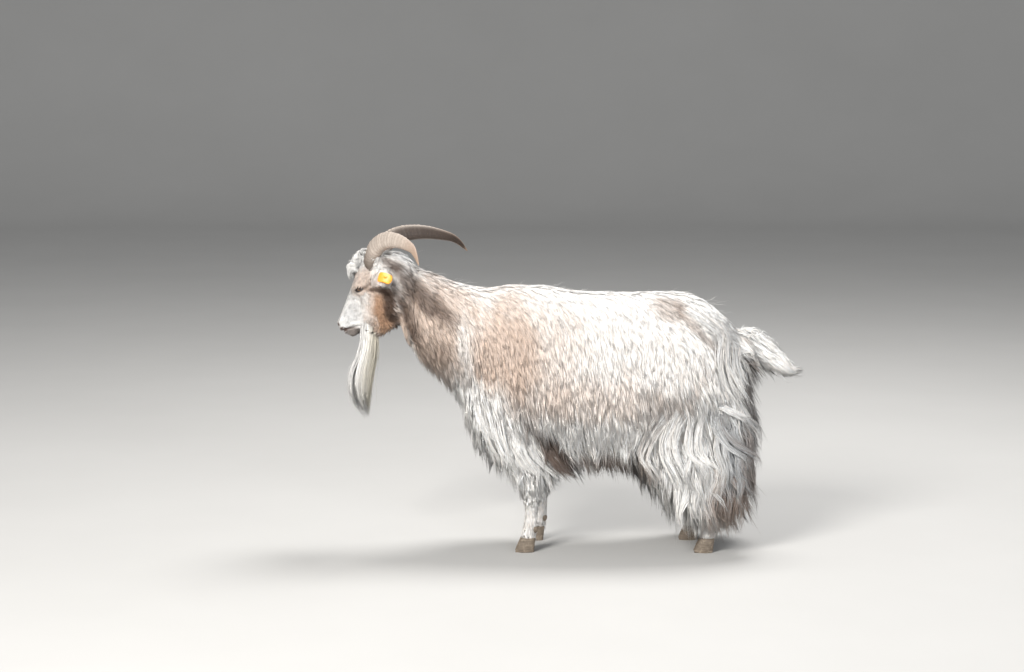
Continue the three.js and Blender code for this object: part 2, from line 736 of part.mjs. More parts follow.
for (const [name, foot] of Object.entries(FEET)) {
  const fore = name.startsWith("fore");
  const upper = net(fore ? "foreUpper" : "hindUpper").intersect(inside(name + "_upper"));
  let shank = net(fore ? "foreShank" : "hindShank").intersect(inside(name + "_shank"));
  for (const [label, lateral] of [["outer", foot.side], ["inner", -foot.side]]) {
    shank = shank.subtract(dewclaw(foot, lateral, GAP));
    put(`${name}_claw_${label}`, claw(foot, lateral), "hoof");
    put(`${name}_dewclaw_${label}`, dewclaw(foot, lateral), "hoof");
  }
  put(name + "_upper", largest(upper), "coat");
  put(name + "_shank", largest(shank), "coat");
}

// The origin is on the floor, under the middle of the whole box.
const box = new THREE.Box3().setFromObject(goat);
goat.position.set(-(box.min.x + box.max.x) / 2, -(box.min.y + box.max.y) / 2, -box.min.z);

export default goat;
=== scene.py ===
"""A still, life-size, long-haired billy goat: skin, coat, horns, eyes, hooves and ear tag.

Row frame in metres: +Z up, the head towards -X, the goat's left side towards -Y.
"""

import json
import math
from collections import namedtuple

import bpy
import numpy as np
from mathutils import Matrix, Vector
from mathutils.bvhtree import BVHTree
from mathutils.kdtree import KDTree

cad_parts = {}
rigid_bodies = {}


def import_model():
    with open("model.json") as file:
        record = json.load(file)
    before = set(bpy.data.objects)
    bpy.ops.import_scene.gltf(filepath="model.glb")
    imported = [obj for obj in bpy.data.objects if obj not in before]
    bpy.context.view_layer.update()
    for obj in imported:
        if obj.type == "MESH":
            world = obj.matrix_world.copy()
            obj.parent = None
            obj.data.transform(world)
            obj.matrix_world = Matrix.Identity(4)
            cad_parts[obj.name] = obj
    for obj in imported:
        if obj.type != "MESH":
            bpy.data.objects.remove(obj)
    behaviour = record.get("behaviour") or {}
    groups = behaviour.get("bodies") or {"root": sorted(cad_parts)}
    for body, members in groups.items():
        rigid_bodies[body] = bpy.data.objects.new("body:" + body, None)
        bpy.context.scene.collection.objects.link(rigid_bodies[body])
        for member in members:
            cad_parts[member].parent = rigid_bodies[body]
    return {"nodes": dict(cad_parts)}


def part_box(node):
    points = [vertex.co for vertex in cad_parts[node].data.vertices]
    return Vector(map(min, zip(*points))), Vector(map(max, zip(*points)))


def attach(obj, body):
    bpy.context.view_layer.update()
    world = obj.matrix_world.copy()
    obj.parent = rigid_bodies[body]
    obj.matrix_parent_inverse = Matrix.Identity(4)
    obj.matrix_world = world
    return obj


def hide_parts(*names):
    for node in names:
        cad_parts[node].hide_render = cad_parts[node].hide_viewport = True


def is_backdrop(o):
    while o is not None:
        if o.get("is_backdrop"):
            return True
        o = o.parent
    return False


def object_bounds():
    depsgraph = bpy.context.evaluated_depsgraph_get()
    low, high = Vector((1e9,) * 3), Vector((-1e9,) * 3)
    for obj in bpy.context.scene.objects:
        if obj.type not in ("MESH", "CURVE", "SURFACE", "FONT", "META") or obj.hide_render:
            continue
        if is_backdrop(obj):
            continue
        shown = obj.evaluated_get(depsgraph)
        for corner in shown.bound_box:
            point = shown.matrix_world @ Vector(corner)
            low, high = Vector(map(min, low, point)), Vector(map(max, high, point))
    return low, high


for leftover in list(bpy.data.objects):
    bpy.data.objects.remove(leftover)
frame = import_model()
cad_low, cad_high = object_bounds()
rng = np.random.default_rng(20)
MM = 0.001
UP = np.array([0.0, 0.0, 1.0])

FEET = ("fore_left", "fore_right", "hind_left", "hind_right")
SIDES = {"left": -1, "right": 1}
FLESH = ["trunk", "neck", "tail", "head"] + [f"{f}_{p}" for f in FEET for p in ("upper", "shank")]


def middle(node):
    low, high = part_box(node)
    return np.array((low + high) / 2)


def unit(v):
    return v / np.maximum(np.linalg.norm(v, axis=-1, keepdims=True), 1e-9)


def smoothstep(low, high, x):
    t = np.clip((x - low) / (high - low), 0, 1)
    return t * t * (3 - 2 * t)


def srgb(r, g, b):
    """Linear colour from display values from 0 to 1."""
    c = np.array([r, g, b], float)
    return np.where(c <= 0.04045, c / 12.92, ((c + 0.055) / 1.055) ** 2.4)


# ---- the head's own frames ----------------------------------------------------------------------
# Head: x from poll to lips, y to the goat's left, z out of the forehead.
# Turned: x backwards, y to the goat's right, z up, for horns and ears. Both in millimetres.
HEAD_PITCH = math.radians(54.5)
EYE_AT = (81, 42, 1)
eyes = {side: middle("eye_" + side) for side in SIDES}
to_left = unit(eyes["left"] - eyes["right"])
ahead = unit(np.cross(to_left, UP))
HEAD_AXES = np.array([ahead * math.cos(HEAD_PITCH) - UP * math.sin(HEAD_PITCH), to_left, [0, 0, 0]])
HEAD_AXES[2] = np.cross(HEAD_AXES[0], HEAD_AXES[1])
EYES_FROM_POLL = EYE_AT[0] * HEAD_AXES[0] + EYE_AT[2] * HEAD_AXES[2]
POLL = (eyes["left"] + eyes["right"]) / 2 - MM * EYES_FROM_POLL
TURNED_AXES = np.array([-ahead, -to_left, UP])
MID_Y = middle("trunk")[1]


def into(axes, points):
    return (points - POLL) @ axes.T / MM


def out_of(axes, local):
    return POLL + MM * np.asarray(local, float) @ axes


# ---- noise --------------------------------------------------------------------------------------
LATTICE = 32
CORNERS = [np.array([n & 1, (n >> 1) & 1, (n >> 2) & 1]) for n in range(8)]
lattice = rng.random((LATTICE, LATTICE, LATTICE))


def noise(points, size, shift=0.0):
    """Smooth noise from -1 to 1 with bumps of that size."""
    p = points / size + shift
    base = np.floor(p).astype(int)
    f = p - base
    f = f * f * (3 - 2 * f)
    total = np.zeros(len(p))
    for corner in CORNERS:
        i, j, k = ((base + corner) % LATTICE).T
        total += lattice[i, j, k] * np.where(corner, f, 1 - f).prod(1)
    return 2 * total - 1


# ---- signed distances, negative inside ----------------------------------------------------------
def elliptic(offsets, halves):
    """First-order distance to an ellipse or ellipsoid."""
    q2 = sum((o / h) ** 2 for o, h in zip(offsets, halves))
    slope2 = sum((o / h**2) ** 2 for o, h in zip(offsets, halves))
    q = np.sqrt(q2)
    deepest = -min(np.min(h) for h in halves)
    return np.where(slope2 < 1e-9, deepest, (q - 1) * q / np.sqrt(slope2 + 1e-12))


def ellipsoid(p, at, halves):
    return elliptic([p[:, i] - at[i] for i in range(3)], halves)


def between(stations, s):
    """Values of stations [at, ...values] at s, on smooth curves between them."""
    table = np.array(stations, float)
    at = table[:, 0]
    i = np.clip(np.searchsorted(at, s) - 1, 0, len(at) - 2)
    before, after = np.maximum(i - 1, 0), np.minimum(i + 2, len(at) - 1)
    span = at[i + 1] - at[i]
    t = np.clip((s - at[i]) / span, 0, 1)
    found = []
    for column in table.T[1:]:
        here, there = column[i], column[i + 1]
        m0 = (there - column[before]) / (at[i + 1] - at[before]) * span
        m1 = (column[after] - here) / (at[after] - at[i]) * span
        rise = there - here
        found.append(here + t * (m0 + t * (3 * rise - 2 * m0 - m1 + t * (m0 + m1 - 2 * rise))))
    return found


def slices(p, stations, cap):
    """A form along x from its slices [x, z, half height, half width]."""
    z0, deep, wide = between(stations, p[:, 0])
    past = np.maximum(np.maximum(stations[0][0] - p[:, 0], p[:, 0] - stations[-1][0]), 0)
    return elliptic([p[:, 2] - z0, p[:, 1], past], [deep, wide, cap])


def melt(a, b, k):
    """The smooth union of two distances."""
    h = np.maximum(k - np.abs(a - b), 0) / k
    return np.minimum(a, b) - h * h * k / 4


def carve(a, b, k):
    """a without b, with a soft edge."""
    return -melt(-a, b, k)


# ---- grids and nets -----------------------------------------------------------------------------
EDGES = [(CORNERS[n], CORNERS[n | bit]) for n in range(8) for bit in (1, 2, 4) if not n & bit]


class Grid:
    """A field held at the points of a grid, read anywhere by linear interpolation."""

    def __init__(self, low, high, cell):
        self.low, self.cell = np.array(low, float), cell
        self.shape = tuple(np.ceil((np.array(high) - low) / cell).astype(int) + 1)

    def points(self):
        axes = [self.low[i] + self.cell * np.arange(self.shape[i]) for i in range(3)]
        return np.stack(np.meshgrid(*axes, indexing="ij"), -1).reshape(-1, 3)

    def fill(self, values):
        self.values = np.asarray(values, float).reshape(self.shape)
        self.slopes = np.gradient(self.values, self.cell)
        return self

    def read(self, points, table=None):
        table = self.values if table is None else table
        p = np.clip((points - self.low) / self.cell, 0, np.array(self.shape) - 1.001)
        base = p.astype(int)
        f = p - base
        total = 0
        for corner in CORNERS:
            i, j, k = (base + corner).T
            total = total + table[i, j, k] * np.where(corner, f, 1 - f).prod(1)
        return total

    def normal(self, points):
        return unit(np.stack([self.read(points, s) for s in self.slopes], 1))


def soften(values, rounds):
    """Values blurred by one cell's width for each round."""
    for _ in range(rounds):
        for axis in range(3):
            ends = values.take([0], axis), values.take([-1], axis)
            padded = np.concatenate([ends[0], values, ends[1]], axis)
            n = values.shape[axis]
            before, after = padded.take(range(n), axis), padded.take(range(2, n + 2), axis)
            values = (before + 2 * values + after) / 4
    return values


def net(grid):
    """Points and quads of the surface where the grid's field is nought."""
    values = grid.values
    inside = values < 0
    spans = [slice(0, n - 1) for n in values.shape]
    count = sum(
        inside[tuple(slice(s.start + c, s.stop + c) for s, c in zip(spans, corner))].astype(int)
        for corner in CORNERS
    )
    active = (count > 0) & (count < 8)
    cells = np.argwhere(active)
    index = np.full(active.shape, -1)
    index[active] = np.arange(len(cells))
    total, hits = np.zeros((len(cells), 3)), np.zeros(len(cells))
    for a, b in EDGES:
        va, vb = values[tuple((cells + a).T)], values[tuple((cells + b).T)]
        cross = (va < 0) != (vb < 0)
        t = np.where(cross, va / np.where(cross, va - vb, 1), 0)
        total += np.where(cross[:, None], cells + a + t[:, None] * (b - a), 0)
        hits += cross
    points = grid.low + grid.cell * total / hits[:, None]
    quads = []
    for axis in range(3):
        step = np.eye(3, dtype=int)
        u, v = step[(axis + 1) % 3], step[(axis + 2) % 3]
        first = [slice(1, n - 1) for n in values.shape]
        first[axis] = slice(0, values.shape[axis] - 1)
        second = list(first)
        second[axis] = slice(1, values.shape[axis])
        starts = [s.start for s in first]
        here, there = inside[tuple(first)], inside[tuple(second)]
        for leaving in (True, False):
            at = np.argwhere((here != there) & (here == leaving)) + starts
            ring = [index[tuple(c.T)] for c in (at, at - u, at - u - v, at - v)]
            quads.append(np.stack(ring if leaving else ring[::-1], 1))
    return points, np.concatenate(quads)


def settle(points, field, cell, rounds=3):
    """Points drawn onto the surface where field is nought."""
    step = cell * 0.1
    for _ in range(rounds):
        d = field(points)
        slope = np.stack(
            [(field(points + e) - field(points - e)) / (2 * step) for e in np.eye(3) * step], 1
        )
        size = np.maximum((slope**2).sum(1), 0.25)
        points = points - np.clip(d / size, -cell / 2, cell / 2)[:, None] * slope
    return points


def relax(points, faces):
    """Points drawn half way to the mean of their neighbours."""
    total, count = np.zeros_like(points), np.zeros(len(points))
    for i in range(faces.shape[1]):
        a, b = faces[:, i], faces[:, (i + 1) % faces.shape[1]]
        for axis in range(3):
            total[:, axis] += np.bincount(a, points[b, axis], len(points))
        count += np.bincount(a, minlength=len(points))
    return points + 0.5 * (total / np.maximum(count, 1)[:, None] - points)


def mesh_object(name, points, faces):
    mesh = bpy.data.meshes.new(name)
    faces = np.asarray(faces)
    count, sides = faces.shape
    mesh.vertices.add(len(points))
    mesh.vertices.foreach_set("co", np.asarray(points, np.float32).ravel())
    mesh.loops.add(count * sides)
    mesh.loops.foreach_set("vertex_index", faces.astype(np.int32).ravel())
    mesh.polygons.add(count)
    mesh.polygons.foreach_set("loop_start", np.arange(0, count * sides, sides, dtype=np.int32))
    mesh.update(calc_edges=True)
    mesh.validate()
    mesh.polygons.foreach_set("use_smooth", np.ones(count, bool))
    ob = bpy.data.objects.new(name, mesh)
    bpy.context.scene.collection.objects.link(ob)
    return ob


def points_of(mesh):
    co = np.empty(len(mesh.vertices) * 3, np.float32)
    mesh.vertices.foreach_get("co", co)
    return co.reshape(-1, 3).astype(float)


def paint(mesh, name, colours):
    """Colours as one linear value to each vertex."""
    layer = mesh.color_attributes.new(name, "FLOAT_COLOR", "POINT")
    rgba = np.concatenate([np.clip(colours, 0, 1), np.ones((len(colours), 1))], 1)
    layer.data.foreach_set("color", rgba.astype(np.float32).ravel())


def add_values(mesh, name, values):
    """One number or one vector to each vertex, for the materials."""
    values = np.asarray(values, np.float32)
    kind, field = ("FLOAT_VECTOR", "vector") if values.ndim == 2 else ("FLOAT", "value")
    mesh.attributes.new(name, kind, "POINT").data.foreach_set(field, values.ravel())


def apply_modifiers(ob):
    bpy.context.view_layer.objects.active = ob
    for modifier in list(ob.modifiers):
        with bpy.context.temp_override(object=ob, active_object=ob):
            bpy.ops.object.modifier_apply(modifier=modifier.name)


# ---- the coat by zones --------------------------------------------------------------------------
# at and size: middle and reach in x and z. deep: how far the skin lies under the coat's outside, in
# mm. long and wide: of one tuft, in mm. flow: the way it lies, as back, outward and up. wave: the
# height of its waves, as a share of its length.
Zone = namedtuple("Zone", "at size deep long wide flow wave")
ZONES = {
    "crest": Zone((-0.32, 0.69), (0.12, 0.05), 7, 50, 1.8, (0.85, 0.4, -0.35), 0.03),
    "neck": Zone((-0.36, 0.60), (0.09, 0.08), 8, 48, 1.8, (0.62, 0.1, -0.78), 0.035),
    "nape": Zone((-0.43, 0.735), (0.04, 0.04), 7, 34, 1.7, (0.9, 0.1, -0.42), 0.03),
    "throat": Zone((-0.42, 0.53), (0.05, 0.07), 18, 64, 1.9, (0.45, 0.0, -0.9), 0.06),
    "neck_foot": Zone((-0.29, 0.48), (0.06, 0.08), 18, 66, 2.0, (0.4, 0.1, -0.92), 0.05),
    "withers": Zone((-0.18, 0.67), (0.09, 0.05), 4.5, 50, 1.9, (0.75, 0.5, -0.5), 0.03),
    "shoulder": Zone((-0.18, 0.52), (0.08, 0.1), 5.5, 56, 2.0, (0.3, 0.1, -1), 0.025),
    "breast": Zone((-0.24, 0.37), (0.08, 0.08), 24, 92, 2.4, (0.25, 0.1, -1), 0.07),
    "forearm": Zone((-0.14, 0.27), (0.07, 0.06), 18, 96, 2.2, (0.5, 0.1, -1), 0.1),
    "elbow": Zone((-0.02, 0.25), (0.05, 0.06), 22, 120, 2.2, (0.85, 0.0, -0.8), 0.1),
    "knee": Zone((-0.1, 0.18), (0.06, 0.03), 7, 40, 2.0, (0.2, 0.0, -1), 0.04),
    "fore_cannon": Zone((-0.1, 0.08), (0.08, 0.07), 3, 13, 1.5, (0.1, 0.0, -1), 0.0),
    "fore_fetlock": Zone((-0.08, 0.055), (0.03, 0.02), 4, 44, 1.6, (0.3, 0.0, -1), 0.02),
    "back": Zone((0.09, 0.67), (0.16, 0.05), 4.5, 58, 2.0, (0.6, 0.65, -0.5), 0.025),
    "flank": Zone((0.09, 0.48), (0.14, 0.12), 6, 72, 2.1, (0.2, 0.1, -1), 0.03),
    "belly": Zone((0.1, 0.29), (0.14, 0.06), 22, 88, 2.3, (0.4, 0.0, -1), 0.07),
    "rump": Zone((0.34, 0.63), (0.1, 0.05), 5.5, 64, 2.1, (0.95, 0.3, -0.45), 0.05),
    "haunch": Zone((0.32, 0.50), (0.1, 0.07), 7.5, 84, 2.2, (0.45, 0.1, -1), 0.05),
    "skirt": Zone((0.34, 0.30), (0.12, 0.1), 32, 185, 2.3, (0.30, 0.1, -1), 0.15),
    "breech": Zone((0.46, 0.36), (0.05, 0.12), 30, 160, 2.3, (0.55, 0.1, -1), 0.17),
    "hock": Zone((0.37, 0.14), (0.09, 0.035), 20, 95, 2.2, (0.2, 0.0, -1), 0.14),
    "hind_cannon": Zone((0.36, 0.06), (0.08, 0.05), 3, 13, 1.5, (0.05, 0.0, -1), 0.0),
    "hind_fetlock": Zone((0.39, 0.055), (0.03, 0.02), 4, 44, 1.6, (0.3, 0.0, -1), 0.02),
    "tail_root": Zone((0.46, 0.56), (0.03, 0.04), 12, 70, 2.2, (1, 0.2, -0.4), 0.07),
    "tail": Zone((0.54, 0.51), (0.05, 0.05), 12, 66, 2.2, (1, 0.1, -0.4), 0.06),
}


def zone_shares(points):
    """How much each zone holds at each point, as rows that add up to one."""
    powers = []
    for zone in ZONES.values():
        offsets = [(points[:, i] - at) / size for i, at, size in zip((0, 2), zone.at, zone.size)]
        powers.append(-(offsets[0] ** 2) - offsets[1] ** 2)
    powers = np.stack(powers, 1)
    shares = np.exp(powers - powers.max(1, keepdims=True))
    return shares / shares.sum(1, keepdims=True)


def by_zone(shares, field):
    return shares @ np.array([getattr(zone, field) for zone in ZONES.values()], float)


# Zones of long hair.
SHAGGY = ("skirt", "breech", "hock", "tail", "tail_root", "breast", "forearm", "elbow", "belly")


def near_zone(points, *names):
    """1 within the named zones, 0 away from them."""
    keys = list(ZONES)
    return zone_shares(points)[:, [keys.index(n) for n in names]].sum(1)


# ---- the body's skin ----------------------------------------------------------------------------
BODY_CELL = 0.008
REMESH = 0.010
MARGIN = 0.045  # of the grid round the CAD
LEGS_UP_TO = (0.15, 0.24)  # between these heights the form goes from crisp legs to a softened body
FACE_MIDDLE = (95, 0, -25)
FACE_DEPTH = 0.026  # the body's skin lies well inside the head's own


def joined_nodes(names):
    points, faces, start = [], [], 0
    for name in names:
        mesh = frame["nodes"][name].data
        co = points_of(mesh)
        points.append(co)
        faces += [[start + i for i in polygon.vertices] for polygon in mesh.polygons]
        start += len(co)
    return np.concatenate(points), faces


def distance_grid(ob, grid):
    """Signed distances to a closed mesh at the grid's points."""
    mesh = ob.data
    tree = BVHTree.FromPolygons(points_of(mesh).tolist(), [p.vertices[:] for p in mesh.polygons])
    found = []
    for point in grid.points().tolist():
        at, normal, _, gap = tree.find_nearest(point)
        outward = sum((point[i] - at[i]) * normal[i] for i in range(3))
        found.append(gap if outward > 0 else -gap)
    return grid.fill(found)


def outer_grid():
    """The coat's outside, from the CAD nodes of flesh, as a smooth field."""
    points, faces = joined_nodes(FLESH)
    hull = mesh_object("hull", points, faces)
    remesh = hull.modifiers.new("whole", "REMESH")
    remesh.mode, remesh.voxel_size = "VOXEL", REMESH
    apply_modifiers(hull)
    grid = Grid(np.array(cad_low) - MARGIN, np.array(cad_high) + MARGIN, BODY_CELL)
    distance_grid(hull, grid)
    bpy.data.objects.remove(hull)
    height = grid.points()[:, 2].reshape(grid.shape)
    share = smoothstep(*LEGS_UP_TO, height)
    return grid.fill(share * soften(grid.values, 4) + (1 - share) * grid.values)


outer = outer_grid()
body_points = outer.points()
body_depth = by_zone(zone_shares(body_points), "deep") * MM
to_face = np.linalg.norm(body_points - out_of(HEAD_AXES, FACE_MIDDLE), axis=1)
body_depth += (FACE_DEPTH - body_depth) * smoothstep(0.16, 0.11, to_face)
flesh = Grid(np.array(cad_low) - MARGIN, np.array(cad_high) + MARGIN, BODY_CELL)
flesh.fill(outer.values.ravel() + body_depth)


# ---- the head's skin ----------------------------------------------------------------------------
HEAD_CELL = 0.0022
SKULL = [
    [-34, -34, 24, 26],
    [-10, -17, 36, 38],
    [20, -4, 39, 45],
    [58, 0, 38, 48],
    [95, -6, 34, 41],
    [130, -9, 29.5, 31],
    [165, -12, 26, 25],
    [190, -14, 23, 25],
    [203, -17, 17, 21.5],
]
JAW = [
    [30, -62, 34, 30],
    [80, -67, 35, 32],
    [122, -59, 29, 27],
    [160, -46, 19.5, 21],
    [190, -41, 12, 17],
    [201, -39, 9, 13],
]
NOSE_BRIDGE = [
    [40, 22, 9, 15],
    [90, 18, 9.5, 16],
    [130, 11, 9, 14],
    [165, 3, 8, 12],
    [192, -4, 6, 9],
]
HEAD_REACH = 260  # from the poll: nothing beyond it is on the head
LID_SIZE = 15.2
LID_TILT = math.radians(34)  # from the head's length to the eye's long way
SLIT_HALF = 10.2
SLIT_HIGH = 5.2
MOUTH = [[150, -62], [164, -52], [182, -38], [197, -25], [205, -21], [214, -19]]


def pair(p, at, halves):
    """Distance to a form and its mirror image: the head is alike on both sides."""
    sided = np.stack([p[:, 0], np.abs(p[:, 1]), p[:, 2]], 1)
    return ellipsoid(sided, at, halves)


def mouth_height(x):
    return between(MOUTH, x)[0]


def head_field(points):
    """The head's skin in millimetres, without ears."""
    p = into(HEAD_AXES, points)
    x, y, z = p.T
    d = melt(slices(p, SKULL, 11), slices(p, JAW, 9), 16)
    forms = [
        (pair(p, (72, 36, 15), (26, 10, 9)), 16),  # brow
        (pair(p, (81, 36, 1), (22, 14, 17)), 10),  # socket's flesh
        (pair(p, (94, 21, -26), (46, 15, 24)), 30),  # cheek under the eye
        (pair(p, (62, 22, -60), (46, 17, 42)), 22),  # jaw muscle
        (pair(p, (112, 6, -80), (42, 20, 37)), 20),  # angle of the jaw and throat
        (pair(p, (196, 14, -2), (11, 8.5, 10)), 6),  # wing of the nostril
        (ellipsoid(p, (200, 0, -17), (11, 19, 12)), 7),  # upper lip
        (ellipsoid(p, (195, 0, -42), (14, 14, 10)), 7),  # chin
        (slices(p, NOSE_BRIDGE, 14), 16),
        (ellipsoid(p, (26, 0, 30), (36, 27, 12)), 18),  # forehead between the horns
        (pair(p, (-8, 25, 15), (17, 15, 18)), 14),  # the horns' bony cores
        (ellipsoid(p, (-2, 0, -52), (34, 32, 46)), 34),  # nape
    ]
    for form, k in forms:
        d = melt(d, form, k)
    d = carve(d, pair(p, (106, 44, 2), (18, 5, 8)), 10)  # hollow in front of the eye
    d = carve(d, pair(p, (142, 33, -12), (30, 5, 13)), 18)  # hollow beside the nose
    groove = np.exp(-(((z - mouth_height(x)) / 3.4) ** 2)) * smoothstep(162, 182, x)
    d = d + 3.4 * groove
    lips = np.exp(-((np.abs(z - mouth_height(x)) - 7.5) / 4.5) ** 2) * smoothstep(158, 178, x)
    d = d - 1.5 * lips
    d = d + 1.6 * np.exp(-((y / 1.7) ** 2)) * smoothstep(204, 211, x) * smoothstep(-28, -20, z)
    away = np.abs(y)
    curl = (x - 200) * 0.55 + (z - 1)  # the nostril is a slanting comma
    nostril = elliptic([x - 200, away - 15.5 - 0.02 * (z - 1) ** 2, curl], [11, 5.6, 5.8])
    d = carve(d, nostril, 2)
    fold = np.sin((x + 0.9 * z) * 0.5) * smoothstep(70, 92, x) * smoothstep(128, 110, x)
    d = d + 0.35 * fold * smoothstep(-14, -26, z) * smoothstep(-60, -46, z)
    return with_eyes(d, p)


def by_slit(x, z):
    """A place beside the eye's middle as how far along its slit and how far up from it."""
    cos, sin = math.cos(LID_TILT), math.sin(LID_TILT)
    return x * cos + z * sin, -x * sin + z * cos


def lid_arch(along):
    """Half of the eye's opening at a place along it, in millimetres."""
    return SLIT_HIGH * np.sqrt(np.clip(1 - (np.abs(along) / SLIT_HALF) ** 1.8, 0, 1))


def with_eyes(d, p):
    """Lids round each eyeball, parted by an almond-shaped slit."""
    x, y, z = p[:, 0] - EYE_AT[0], np.abs(p[:, 1]) - EYE_AT[1], p[:, 2] - EYE_AT[2]
    reach = np.sqrt(x * x + y * y + z * z)
    d = melt(d, reach - LID_SIZE, 5)
    along, up = by_slit(x, z)
    slit = np.maximum(np.abs(up) - lid_arch(along), np.abs(along) - SLIT_HALF)
    slit = np.maximum(slit, 4 - y)
    crease = np.exp(-((np.hypot(along * 0.86, up + 1) - 14.6) / 1.6) ** 2) * (up > -4) * (y > 0)
    return carve(d + 0.8 * crease, slit, 1)


EAR_ROOT = (16.5, 38, -9)
EAR_LENGTH = 80
EAR_WIDE = 28.5
EAR_BASE = 12


def ear_axes(side):
    along = unit(np.array([0.1, side * 0.84, -0.46]))
    out = np.array([0.05, side * 0.55, 0.8])
    out = unit(out - along * (out @ along))
    return along, np.cross(out, along), out


def ear_shape(t):
    """Half-width, angle from middle to edge, and radius of the fold, at t along the ear."""
    t = np.clip(t, 0, 0.995)
    half = np.maximum(EAR_WIDE * (0.45 + 1.5 * t) * np.sqrt(1 - t**2.4) * 0.86 - 1.5, 1.5)
    fold = 1.3 * (1 - 0.2 * t)
    return half, fold, half / np.sin(fold)


def ear_point(side, t, s, rise):
    """Point of an ear in the row frame: t along it, s across from -1 to 1, rise out of its back."""
    along, across, out = ear_axes(side)
    _, fold, radius = ear_shape(t)
    t, s, rise = np.broadcast_arrays(t, s, rise)
    at = np.array([EAR_ROOT[0], side * EAR_ROOT[1], EAR_ROOT[2]])
    local = at + np.multiply.outer(EAR_LENGTH * t - EAR_BASE * (1 - t), along)
    local = local + np.multiply.outer((radius + rise) * np.sin(fold * s), across)
    local = local + np.multiply.outer((radius + rise) * np.cos(fold * s) - radius, out)
    return out_of(TURNED_AXES, local)


def tube(rings):
    """Faces over rings of equal length, closed with a fan at each end over an added point."""
    count, around = rings.shape[:2]
    i = np.arange(count - 1)[:, None] * around
    j = np.arange(around)[None, :]
    a, b = i + j, i + (j + 1) % around
    quads = np.stack([a, b, b + around, a + around], -1).reshape(-1, 4)
    faces = np.concatenate([quads[:, [0, 1, 2]], quads[:, [0, 2, 3]]])
    last = (count - 1) * around + np.arange(around)
    hub = count * around
    first_fan = np.stack([np.roll(j[0], -1), j[0], np.full(around, hub)], 1)
    last_fan = np.stack([last, np.roll(last, -1), np.full(around, hub + 1)], 1)
    points = np.concatenate([rings.reshape(-1, 3), [rings[0].mean(0), rings[-1].mean(0)]])
    faces = np.concatenate([faces, first_fan, last_fan])
    p = points[faces]
    volume = np.einsum("ij,ij->i", p[:, 0], np.cross(p[:, 1], p[:, 2])).sum()
    return points, faces if volume > 0 else faces[:, ::-1]


EAR_RINGS = 30
EAR_AROUND = 44


def ear_mesh(side):
    t = np.linspace(-0.12, 0.99, EAR_RINGS)[:, None]
    angle = np.linspace(0, 2 * math.pi, EAR_AROUND, endpoint=False)[None, :]
    s = np.cos(angle)
    thick = (3.3 - 1.9 * np.clip(t, 0, 1)) * np.abs(np.sin(angle)) ** 0.6
    ridge = 0.5 * np.sin(9 * s + 1) * (1 - s * s) * smoothstep(0, 0.2, t)
    rise = np.where(np.sin(angle) > 0, thick, -thick + ridge * 1.6)
    return tube(ear_point(side, t, s * (0.98 + 0.02 * np.sin(7 * t)), rise))


NECK_CUT = (-0.425, -0.395)  # between these x the head's skin sinks just under the neck's


def head_skin(points):
    d = head_field(points)
    sunk = 0.0025 * smoothstep(NECK_CUT[0], NECK_CUT[1] - 0.008, points[:, 0])
    d = melt(d * MM, flesh.read(points) + sunk, 0.022)
    return np.maximum(d, (points[:, 0] - NECK_CUT[1]) * 0.9)


def head_mesh():
    boxes = [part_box(n) for n in ("head", "ear_left", "ear_right")]
    low = np.min([b[0] for b in boxes], 0) - 0.012
    high = np.max([b[1] for b in boxes], 0) + 0.012
    high[0] = NECK_CUT[1] + 0.012
    low[2] = min(low[2], 0.47)
    grid = Grid(low, high, HEAD_CELL)
    grid.fill(head_skin(grid.points()))
    points, quads = net(grid)
    for _ in range(2):
        points = settle(relax(points, quads), head_skin, HEAD_CELL, 1)
    return mesh_object("head_skin", points, quads), grid


def biggest_part(ob):
    """Only the largest connected part of a mesh stays."""
    mesh = ob.data
    points = points_of(mesh)
    faces = np.array([p.vertices[:] for p in mesh.polygons])
    label = np.arange(len(points))
    while True:
        low = label[faces].min(1)
        new = label.copy()
        np.minimum.at(new, faces.ravel(), np.repeat(low, faces.shape[1]))
        new = new[new]
        if (new == label).all():
            break
        label = new
    names, counts = np.unique(label, return_counts=True)
    keep = label == names[counts.argmax()]
    if keep.all():
        return ob
    order = np.cumsum(keep) - 1
    kept = order[faces[keep[faces[:, 0]]]]
    name = ob.name
    bpy.data.objects.remove(ob)
    return mesh_object(name, points[keep], kept)


def make_skin():
    points, quads = net(flesh)
    body = biggest_part(mesh_object("skin", settle(points, flesh.read, BODY_CELL), quads))
    head, grid = head_mesh()
    head = biggest_part(head)
    joins = [head] + [mesh_object("ear", *ear_mesh(side)) for side in SIDES.values()]
    for other in joins:
        union = body.modifiers.new("join", "BOOLEAN")
        union.operation, union.object, union.solver = "UNION", other, "EXACT"
    apply_modifiers(body)
    for other in joins:
        bpy.data.objects.remove(other)
    body.data.polygons.foreach_set("use_smooth", np.ones(len(body.data.polygons), bool))
    return body, grid


skin, head_grid = make_skin()


# ---- markings and patches of painted shade ------------------------------------------------------
WHITE = srgb(0.955, 0.945, 0.93)
CREAM = srgb(0.945, 0.92, 0.895)
TAN = srgb(0.805, 0.715, 0.65)
RUST = srgb(0.66, 0.51, 0.39)
GREY_BROWN = srgb(0.56, 0.485, 0.435)
DARK_BROWN = srgb(0.31, 0.235, 0.185)
SILVER = srgb(0.66, 0.665, 0.67)
